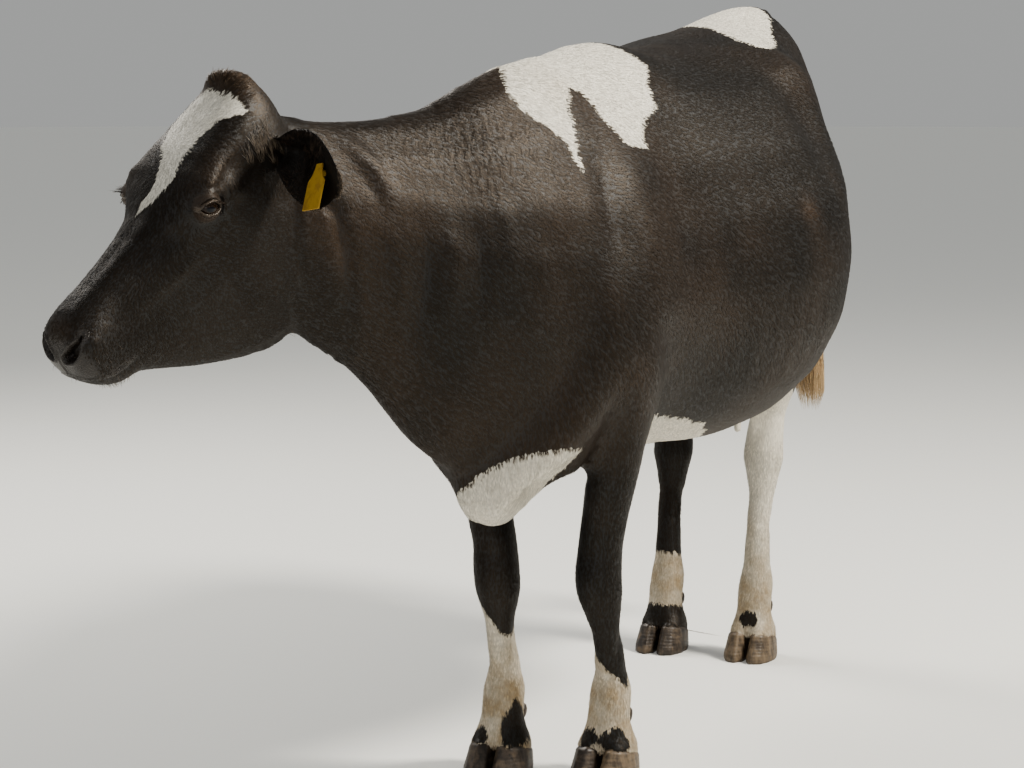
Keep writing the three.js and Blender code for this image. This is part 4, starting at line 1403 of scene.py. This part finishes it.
def hair_mesh(name, line, roots, width, rng):
    """Thin three-sided hairs round their lines, each with its patch of the map and its markings."""
    count, rings = line.shape[:2]
    along = unit(np.gradient(line, axis=1))
    side = unit(np.cross(along, roots["normal"][:, None] + 1e-4))
    up = np.cross(side, along)
    share = np.linspace(0, 1, rings)
    radius = 0.5 * width * (1 - 0.75 * share[:-1] ** 1.5)
    edges = []
    for turn in 2 * math.pi * np.arange(3) / 3:
        out = (math.cos(turn) * side + math.sin(turn) * up)[:, :-1]
        edges.append(line[:, :-1] + radius[None, :, None] * out)
    body = np.stack(edges, 2).reshape(count, -1, 3)
    points = np.concatenate([body, line[:, -1:]], 1)
    each = points.shape[1]
    faces = []
    for s in range(rings - 1):
        for k in range(3):
            a, b = 3 * s + k, 3 * s + (k + 1) % 3
            if s < rings - 2:
                faces += [(a, a + 3, b), (b, a + 3, b + 3)]
            else:
                faces.append((a, each - 1, b))
    faces = np.array(faces)[None] + each * np.arange(count)[:, None, None]
    data = bpy.data.meshes.new(name)
    flat = faces.reshape(-1).astype(np.int32)
    data.vertices.add(count * each)
    data.vertices.foreach_set("co", points.astype(np.float32).ravel())
    data.loops.add(len(flat))
    data.loops.foreach_set("vertex_index", flat)
    data.polygons.add(len(flat) // 3)
    data.polygons.foreach_set("loop_start", np.arange(0, len(flat), 3, dtype=np.int32))
    data.update(calc_edges=True)
    data.validate()
    ring_share = np.append(np.repeat(share[:-1], 3), 1)
    ring_side = np.append(np.tile([0, 0.5, 1], rings - 1), 0.5)
    put(data, "along", np.tile(ring_share, count))
    put(data, "tone", np.repeat(rng.random(count), each))
    for held in ("patch", "warm_and_lit", "soil_and_shade"):
        put(data, held, np.repeat(roots[held], each))
    local = np.column_stack([ring_side, ring_share]) - 0.5
    lay_on_map(data, np.repeat(roots["flat"], each, 0) + np.tile(local, (count, 1)) * PATCH_SIZE)
    shade_smooth(data)
    return data


def hair(name, roots, length, width, finish, seed, **way):
    """A piece of hair on its roots, with length and width in mm."""
    rng = np.random.default_rng(seed)
    data = hair_mesh(name, hair_paths(roots, length * MM, rng, **way), roots, width * MM, rng)
    return add_object(name, data, finish)


def in_head(vector):
    """A direction given in the head's frame."""
    return HEAD_TURN @ np.array(vector, float)


def head_hair(hide, finishes):
    """Poll tuft, locks at the ears' roots, hair in and round the ears, chin and throat hair, whiskers."""
    rng = np.random.default_rng(41)
    h = to_head(hide.points) / MM
    mirrored = on_left(h)
    made = []

    def grow(name, where, count, length, width, finish, seed, **way):
        made.append(hair(name, hide.drawn(where, count, rng), length, width, finishes[finish], seed, **way))

    poll = hill(mirrored, (0, -2, 18), (44, 34, 30)) * ramp(h[:, 1], -40, -30)
    grow("hair_poll", poll, 2200, 16, 0.7, "brown", 42, rise=0.16, fall=0.5, wave=0.2, gather=5)
    root = hill(mirrored, (70, -58, -44), (16, 20, 20)) + hill(mirrored, (73, -36, -16), (14, 22, 22))
    hanging = dict(rise=0.15, fall=1.1, wave=0.12, gather=8, way=in_head([0.35, -0.25, -0.9]))
    grow("hair_ear_root", root, 1500, 28, 0.6, "grey", 43, **hanging)
    on, along, depth = ear_share(hide.points)
    for side in EAR_PLACE:
        e = to_ear(hide.points, side) / MM
        out = EAR_PLACE[side][0]
        near = on * by_ear(e, 2) * (h[:, 0] * out > 0)
        to_rim = np.abs(e[:, 2]) - ear_row(e[:, 0] * out, 1) * 0.97
        rim = near * np.exp(-((to_rim / 6) ** 2)) + near * ramp(along, 0.93, 0.99)
        # painted sunlit rim: pale grey hair along the ear's lower rim and tip
        lower = rim * np.maximum(fade(e[:, 2], -12, 12), ramp(along, 0.8, 0.95)) * ramp(along, 0.45, 0.65)
        inner = near * ramp(along, 0.12, 0.3) * fade(along, 0.5, 0.8) * fade(depth, -3, 0)
        way = in_head(ear_frame(side)[0] @ np.array([out, -0.35, -0.15]))
        loose = dict(rise=0.3, fall=0.35, wave=0.1, gather=5, way=way, stray=0.25)
        grow(f"hair_ear_rim_{side}", rim, 700, 10, 0.55, "dark", 44, **loose)
        close = dict(rise=0.25, fall=0.35, wave=0.1, gather=5, way=way, stray=0.15)
        grow(f"hair_ear_edge_{side}", lower, 900, 8, 0.6, "grey", 49, **close)
        deep = dict(rise=0.5, fall=0.2, wave=0.15, gather=9, way=way, stray=0.3)
        grow(f"hair_ear_inner_{side}", inner, 800, 18, 0.55, "dark", 45, **deep)
    chin = hill(mirrored, (18, -468, -192), (30, 26, 16))
    grow("hair_chin", chin, 240, 11, 0.4, "grey", 46, rise=0.5, fall=0.6, stray=0.2)
    throat = hill(mirrored, (0, -60, -318), (26, 50, 40))
    grow("hair_throat", throat, 600, 20, 0.6, "tan", 47, rise=0.5, fall=0.8, gather=8, stray=0.2)
    lips = hill(mirrored, (50, -478, -130), (20, 34, 34)) + hill(mirrored, (38, -486, -170), (20, 20, 16))
    grow("whiskers", lips, 90, 10, 0.3, "grey", 48, rise=0.9, fall=0.35, stray=0.2)
    return made


def lashes(hide, side, finish):
    """Long straight lashes off the upper lid, and a few short ones below."""
    rng = np.random.default_rng(51)
    made = []
    for lid, up, count, length, lean in (("upper", 1, 90, 17, 0.30), ("lower", -1, 40, 8, 0.5)):
        a = SLIT["middle"] + SLIT["half"] * (rng.random(count) * 1.7 - 0.8)
        top, bottom = slit_edges(a)
        b = (top + 1.0 if up > 0 else bottom - 1.0) + 0.5 * rng.random(count)
        roots = hide.beside(from_lid_axes(a, b, on_ball(a, b, BALL + LID - 0.2), side))
        spread = 0.35 * (a - SLIT["middle"]) / SLIT["half"]
        way = EYE_OUT[None] * 0.8 + EYE_UP[None] * (up * lean) + EYE_ALONG[None] * spread[:, None]
        roots["normal"] = unit((way * [side, 1, 1]) @ HEAD_TURN.T)
        name = f"lashes_{lid}_{'left' if side > 0 else 'right'}"
        made.append(hair(name, roots, length, 0.5, finish, 52, rise=1.45, fall=0.35, stray=0.1))
    return made


GOLDEN_TURN = 2.399  # radians, so that the locks stand evenly round the tail


def tail_hair(hide, finish):
    """The switch: long waved strands round the tail's end, in locks of unequal length."""
    rng = np.random.default_rng(61)
    held = coords(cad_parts["tail_switch"].data)
    low, high = held[:, 2].min(), held[:, 2].max()
    steps, count, locks = 12, 1300, 60
    levels = np.linspace(high, low, 8)
    bands = [held[np.abs(held[:, 2] - z) < 0.04] for z in levels]
    middles = np.array([band.mean(0) for band in bands])
    middles[:, 2] = levels
    reach = [np.linalg.norm(band[:, :2] - m[:2], axis=1).max() for band, m in zip(bands, middles)]
    end = rng.choice([1.0, 0.85, 0.7, 0.95], count) * (1 - 0.12 * rng.random(count))
    begin = -0.10 + 0.45 * rng.random(count) ** 1.6
    lock = rng.integers(0, locks, count)
    turn = lock * GOLDEN_TURN + 0.35 * rng.standard_normal(count)
    out = np.sqrt((lock % 10 + 1) / 10) * (0.93 + 0.07 * rng.random(count))
    line = []
    for s in range(steps + 1):
        t = np.clip(begin + (end - begin) * s / steps, -0.1, 1)
        level = np.clip(t, 0, 1) * (len(levels) - 1)
        middle = np.stack([np.interp(level, range(len(levels)), middles[:, k]) for k in range(3)], 1)
        middle[:, 2] -= np.minimum(t, 0) * (high - low)
        wide = np.interp(level, range(len(levels)), reach) * 0.84
        twist = turn + 0.25 * np.sin(5 * t + lock) + 0.10 * np.sin(17 * t + 2 * lock)
        share = out * (0.55 + 0.45 * ramp(t, -0.05, 0.25))
        away = np.stack([np.cos(twist), np.sin(twist), np.zeros(count)], 1)
        line.append(middle + away * (wide * share)[:, None])
    line = np.stack(line, 1)
    roots = hide.beside(line[:, 0])
    roots["normal"] = unit((line[:, 0] - middles[0]) * [1, 1, 0])
    return add_object("hair_switch", hair_mesh("hair_switch", line, roots, 1.5 * MM, rng), finish)


def foot_hair(hide, finishes):
    """A fringe that hangs over the top of each hoof, as dark or pale as the coat above it."""
    rng = np.random.default_rng(71)
    above = coronet(hide.points)
    band = np.exp(-(((above - 0.004) / 0.006) ** 2))
    band = band * (hide.points[:, 2] < 0.12) * (hide.normals[:, 2] > -0.6)
    white = hide.held["patch"] > 0
    way = dict(rise=0.08, fall=0.8, gather=4, way=(0, 0, -1), stray=0.12)
    made = []
    for name, where in (("dirty", band * white), ("dark", band * ~white)):
        roots = hide.drawn(where, 1500, rng)
        made.append(hair(f"hair_coronets_{name}", roots, 11, 0.7, finishes[name], 72, **way))
    return made


# ---------------------------------------------------------------- finishes
BLACK = (0.0065, 0.0053, 0.0043, 1)
BROWN = (0.050, 0.032, 0.020, 1)
WHITE = (0.84, 0.80, 0.70, 1)
# the tan that the white turns to: dust and stain, and the painted shadow on the saddle
STAINED_AND_SHADED = (0.36, 0.27, 0.16, 1)
PATCH_EDGE = 0.0012  # half the width over which black turns white


def coat_colour(n):
    """Black and white by the marking, with ragged edges, bleached brown and stains. Lighter brown also paints
    the light on the brow, round the eyes and on the jaw's edge, and tan paints a shadow on the saddle.
    """
    ragged = n.maths("MULTIPLY_ADD", n.noise(1.0, 3, 0.6, (70, 46, 20)), 0.022, -0.011)
    white = n.ramp(n.maths("ADD", n.attribute("patch"), ragged), -PATCH_EDGE, PATCH_EDGE)
    blotch = n.maths("ADD", n.noise(9.0, 3, 0.55), 0.45)
    # brown for the bleached coat, and for painted light on the brow, round the eyes and on the jaw's edge
    dark = n.mix(n.maths("MULTIPLY", n.attribute("warm_and_lit"), blotch, clamp=True), BLACK, BROWN)
    smear = n.maths("MULTIPLY_ADD", n.noise(30.0, 3, 0.6), 1.2, 0.2)
    # white turned tan by dust and stain, and by the painted shadow on the saddle
    pale = n.mix(n.maths("MULTIPLY", n.attribute("soil_and_shade"), smear, clamp=True), WHITE, STAINED_AND_SHADED)
    return n.mix(white, dark, pale)


def coat_finish():
    """Each lock has a shade of its own and a paler tip. Its light follows the skin more than the blades."""
    n = Finish("coat")
    tone = n.maths("MULTIPLY_ADD", n.attribute("tone"), 0.5, 0.72)
    tip = n.maths("MULTIPLY_ADD", n.attribute("along"), 0.3, 0.85)
    wrinkles = n.noise(1.0, 2, 0.5, (120, 120, 16))
    folds = n.ramp(n.noise(1.0, 1, 0.4, (105, 80, 7)), 0.40, 0.62)
    height = n.maths("MULTIPLY_ADD", n.maths("MULTIPLY", folds, n.attribute("folded")), 3.6, wrinkles)
    normals = {0: 0.66, 4: n.add("ShaderNodeNewGeometry", {}, "Normal"), 5: n.attribute("level", "Vector")}
    sleek = n.add("ShaderNodeMix", normals, 1, data_type="VECTOR")
    return n.dress({
        "Base Color": n.shaded(coat_colour(n), n.maths("MULTIPLY", tone, tip)),
        "Normal": n.bump(height, 0.002, 0.16, Normal=sleek),
        "Roughness": 0.52, "Specular IOR Level": 0.42, "Specular Tint": (1.0, 0.86, 0.72, 1),
    })


def skin_finish():
    """Hide under the coat, and pebbled leather where it is bare."""
    n = Finish("black_coat")
    streak = n.noise(1.0, 2, 0.5, (420, 420, 90))
    furred = n.shaded(coat_colour(n), n.maths("MULTIPLY_ADD", streak, 0.6, 0.5))
    pebble = n.add("ShaderNodeTexVoronoi", {"Vector": n.place(), "Scale": 330.0}, "Distance")
    leather = n.mix(n.ramp(pebble, 0.2, 0.7), (0.026, 0.021, 0.018, 1), (0.012, 0.010, 0.009, 1))
    # paler leather on the nose's top, its own colour, and on the lids, a painted highlight
    leather = n.mix(n.attribute("warm_and_lit"), leather, (0.105, 0.082, 0.062, 1))
    bare = n.attribute("bare")
    return n.dress({
        "Base Color": n.mix(bare, furred, leather),
        "Roughness": n.maths("MULTIPLY_ADD", bare, -0.20, 0.55),
        "Normal": n.bump(n.mix(bare, streak, n.ramp(pebble, 0.1, 0.6)), 0.0012, 0.6),
    })


# ---------------------------------------------------------------- eyes, hooves, tag
def eyeball(name, side, finish):
    """A ball with a clear bulge in front, its pole in the middle of the slit."""
    rings, around = 40, 56
    turn = np.repeat(math.pi * np.arange(1, rings) / rings, around)
    roll = np.tile(2 * math.pi * np.arange(around) / around, rings - 1)
    turn, roll = np.array([0, *turn, math.pi]), np.array([0, *roll, 0])
    radius = BALL * (1 + 0.06 * np.clip(1 - (turn / 0.66) ** 2, 0, 1) ** 1.2)
    a, b, c = radius * [np.sin(turn) * np.cos(roll), np.sin(turn) * np.sin(roll), np.cos(turn)]
    last = len(turn) - 1
    faces = []
    for j in range(around):
        n = (j + 1) % around
        faces += [(0, 1 + j, 1 + n), (last, last - around + n, last - around + j)]
        for k in range(1, 1 + (rings - 2) * around, around):
            faces.append((k + j, k + j + around, k + n + around, k + n))
    data = mesh_from(name, from_lid_axes(a, b, c, side), faces)
    with edited(data) as bm:
        bmesh.ops.recalc_face_normals(bm, faces=bm.faces)
    put(data, "gaze", np.column_stack([a, b, c]) / BALL)
    shade_smooth(data)
    return add_object(name, data, finish)


def eye_finish():
    """Deep brown iris with a level pupil, dark ring and stained white, under a wet front."""
    n = Finish("eye")
    gaze = n.attribute("gaze", "Vector")
    a, b, _ = n.add("ShaderNodeSeparateXYZ", {0: gaze}).node.outputs

    def length(x, y):
        return n.maths("SQRT", n.maths("ADD", n.maths("MULTIPLY", x, x), n.maths("MULTIPLY", y, y)))

    from_middle = length(a, b)
    pupil = length(n.maths("DIVIDE", a, 0.36), n.maths("DIVIDE", b, 0.21))
    rays = n.add("ShaderNodeTexNoise", {"Vector": gaze, "Scale": 26.0, "Detail": 4.0}, "Fac")
    iris = n.mix(rays, (0.010, 0.006, 0.004, 1), (0.036, 0.019, 0.010, 1))
    iris = n.mix(n.ramp(from_middle, 0.70, 0.80), iris, (0.006, 0.005, 0.005, 1))
    veins = n.add("ShaderNodeTexNoise", {"Vector": gaze, "Scale": 9.0, "Detail": 6.0}, "Fac")
    white = n.mix(n.ramp(veins, 0.4, 0.7), (0.085, 0.055, 0.040, 1), (0.035, 0.020, 0.015, 1))
    colour = n.mix(n.ramp(from_middle, 0.82, 0.92), iris, white)
    return n.dress({
        "Base Color": n.mix(n.ramp(pupil, 0.9, 1.08), (0.002, 0.003, 0.006, 1), colour),
        "Roughness": 0.10, "Coat Weight": 0.15, "Coat Roughness": 0.03, "Specular IOR Level": 0.3,
    })


HOOF_VOXEL, DEWHOOF_VOXEL = 0.0030, 0.0022
RING_STEPS = ((0.34, 0.0068), (0.12, 0.0031))  # growth rings: height in mm and spacing


def hoof(node, finish):
    """A claw or dewclaw with its edges rounded, growth rings on its wall and a flat sole."""
    small = node.startswith("dewclaw")
    surface = Surface(remeshed(joined([node], node), DEWHOOF_VOXEL if small else HOOF_VOXEL))
    start = surface.points.copy()
    above = coronet(start)
    surface.smooth(7.0 + (0 if small else 30) * ramp(above, 0.004, 0.014), back=0.30)
    if not small:
        surface.push(-7 * MM * ramp(above, -0.003, 0.010))
    wall = fade(np.abs(surface.normals()[:, 2]), 0.5, 0.75)
    level = start[:, 2] + 0.16 * start[:, 1] + 0.002 * noise(start, 0.022, 3)
    rings = sum(height * np.sin(2 * math.pi * level / step) for height, step in RING_STEPS)
    surface.push(np.full(len(start), (0.2 if small else 1.3) * MM))
    chips = 0.9 * noise(start, 0.009, 8) * fade(start[:, 2], 0.004, 0.014)
    horn = 0.5 if small else fade(above, -0.004, 0.001)
    surface.push((rings + chips) * wall * MM * horn)
    if not small:
        surface.points[start[:, 2] < 0.0016, 2] = 0.0
        surface.points[:, 2] = np.maximum(surface.points[:, 2], 0.0)
    surface.store()
    shade_smooth(surface.data)
    return add_object(node.replace("claw", "hoof"), surface.data, finish)


def horn_finish(name, dark, light):
    """Hoof horn: bands, streaks down the wall, and patches of dust."""
    n = Finish(name)
    streak = n.noise(1.0, 3, 0.55, (110, 110, 14))
    bands = n.noise(1.0, 2, 0.5, (6, 6, 120))
    light_share = n.maths("MULTIPLY_ADD", bands, 0.35, n.maths("MULTIPLY", streak, 0.65))
    horn = n.mix(n.ramp(light_share, 0.36, 0.68), dark, light)
    dust = n.ramp(n.noise(45.0, 4, 0.6), 0.45, 0.78)
    return n.dress({
        "Base Color": n.mix(n.maths("MULTIPLY", dust, 0.45), horn, (0.25, 0.18, 0.115, 1)),
        "Roughness": n.maths("MULTIPLY_ADD", dust, 0.25, 0.45),
        "Normal": n.bump(n.maths("ADD", streak, n.maths("MULTIPLY", bands, 0.7)), 0.0008, 0.7),
    })


def tag_piece(finish):
    """The moulded tag with its edges rounded."""
    data = joined(["ear_tag"], "tag")
    with edited(data) as bm:
        bmesh.ops.remove_doubles(bm, verts=bm.verts, dist=0.00004)
        bmesh.ops.dissolve_limit(bm, angle_limit=0.02, verts=bm.verts, edges=bm.edges)
    blank = add_object("blank", data)
    bevel = blank.modifiers.new("bevel", "BEVEL")
    bevel.width = 0.00055
    bevel.segments = 3
    bevel.limit_method = "ANGLE"
    bevel.angle_limit = math.radians(40)
    done = evaluated(blank)
    bpy.data.objects.remove(blank)
    return add_object("tag", done, finish)


def tag_finish():
    """Ochre plastic, dulled and stained."""
    n = Finish("ear_tag")
    stain = n.ramp(n.noise(70.0, 4, 0.6), 0.45, 0.72)
    grime = n.ramp(n.noise(22.0, 3, 0.55), 0.5, 0.75)
    plastic = n.mix(stain, (0.47, 0.29, 0.040, 1), (0.34, 0.20, 0.035, 1))
    return n.dress({
        "Base Color": n.mix(n.maths("MULTIPLY", grime, 0.55), plastic, (0.16, 0.11, 0.045, 1)),
        "Roughness": n.maths("MULTIPLY_ADD", stain, 0.2, 0.40),
        "Subsurface Weight": 0.12, "Subsurface Radius": (0.003, 0.002, 0.001),
        "Normal": n.bump(n.noise(420.0, 2, 0.5), 0.0002, 0.5),
    })


def hair_finish(name, root, tip):
    """Hair that changes colour from its root to its tip, each strand a little unlike the next."""
    n = Finish(name)
    tone = n.attribute("tone")
    along = n.maths("ADD", n.attribute("along"), n.maths("MULTIPLY_ADD", tone, 0.5, -0.25))
    colour = n.mix(n.ramp(along, 0.15, 0.95), root, tip)
    return n.dress({
        "Base Color": n.shaded(colour, n.maths("MULTIPLY_ADD", tone, 0.55, 0.70)),
        "Roughness": 0.42, "Specular IOR Level": 0.5,
    })


# ---------------------------------------------------------------- build
HAIR_COLOURS = {  # at the root and at the tip
    "dark": ((0.020, 0.014, 0.010, 1), (0.085, 0.055, 0.036, 1)),
    "brown": ((0.028, 0.019, 0.012, 1), (0.120, 0.078, 0.046, 1)),
    "grey": ((0.034, 0.026, 0.019, 1), (0.22, 0.17, 0.12, 1)),
    "tan": ((0.10, 0.062, 0.032, 1), (0.40, 0.27, 0.15, 1)),
    "dirty": ((0.30, 0.22, 0.14, 1), (0.46, 0.37, 0.26, 1)),
    "tail": ((0.17, 0.080, 0.034, 1), (0.58, 0.43, 0.26, 1)),
}
PALE_CLAWS = ("claw_hind_left_outer", "claw_hind_left_inner", "claw_fore_left_outer")


def skin_surface():
    """The whole skin, shaped and marked."""
    skin = base_skin()
    shape_body(skin)
    skin = finer(skin, fine_face, 4)
    skin = finer(skin, fine_eye, 3)
    skin = with_ears(skin)
    for side in (1, -1):
        shape_eye(skin, side)
    shape_muzzle(skin)
    skin.store()
    mark_skin(skin)
    return skin


def fit(piece, slot, *nodes):
    """A finished piece rides on the body and stands for its nodes, which are hidden. Its slot is not used."""
    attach(piece, "root")
    if nodes:
        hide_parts(*nodes)


camera()
studio()
surface = skin_surface()
skin = add_object("skin", surface.data, skin_finish())
shade_smooth(skin.data)
unwrap(skin)
fit(skin, "black_coat", *FLESH)
for piece in coat(skin, coat_finish()):
    fit(piece, "black_coat")

hide = Hide(surface, skin.data)
hair_finishes = {name: hair_finish(f"{name}_hair", *colours) for name, colours in HAIR_COLOURS.items()}
for piece in [*head_hair(hide, hair_finishes), *foot_hair(hide, hair_finishes)]:
    fit(piece, "black_coat")
fit(tail_hair(hide, hair_finishes["tail"]), "tail_hair", "tail_switch")

iris = eye_finish()
for side, name in ((1, "left"), (-1, "right")):
    fit(eyeball(f"eyeball_{name}", side, iris), "eye", f"eye_{name}")
    for piece in lashes(hide, side, hair_finishes["dark"]):
        fit(piece, "black_coat")

dark_horn = horn_finish("dark_horn", (0.018, 0.014, 0.012, 1), (0.060, 0.045, 0.033, 1))
tan_horn = horn_finish("tan_horn", (0.050, 0.036, 0.024, 1), (0.17, 0.125, 0.080, 1))
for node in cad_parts:
    if "claw" in node:
        fit(hoof(node, tan_horn if node in PALE_CLAWS else dark_horn), "horn", node)
fit(tag_piece(tag_finish()), "ear_tag", "ear_tag")
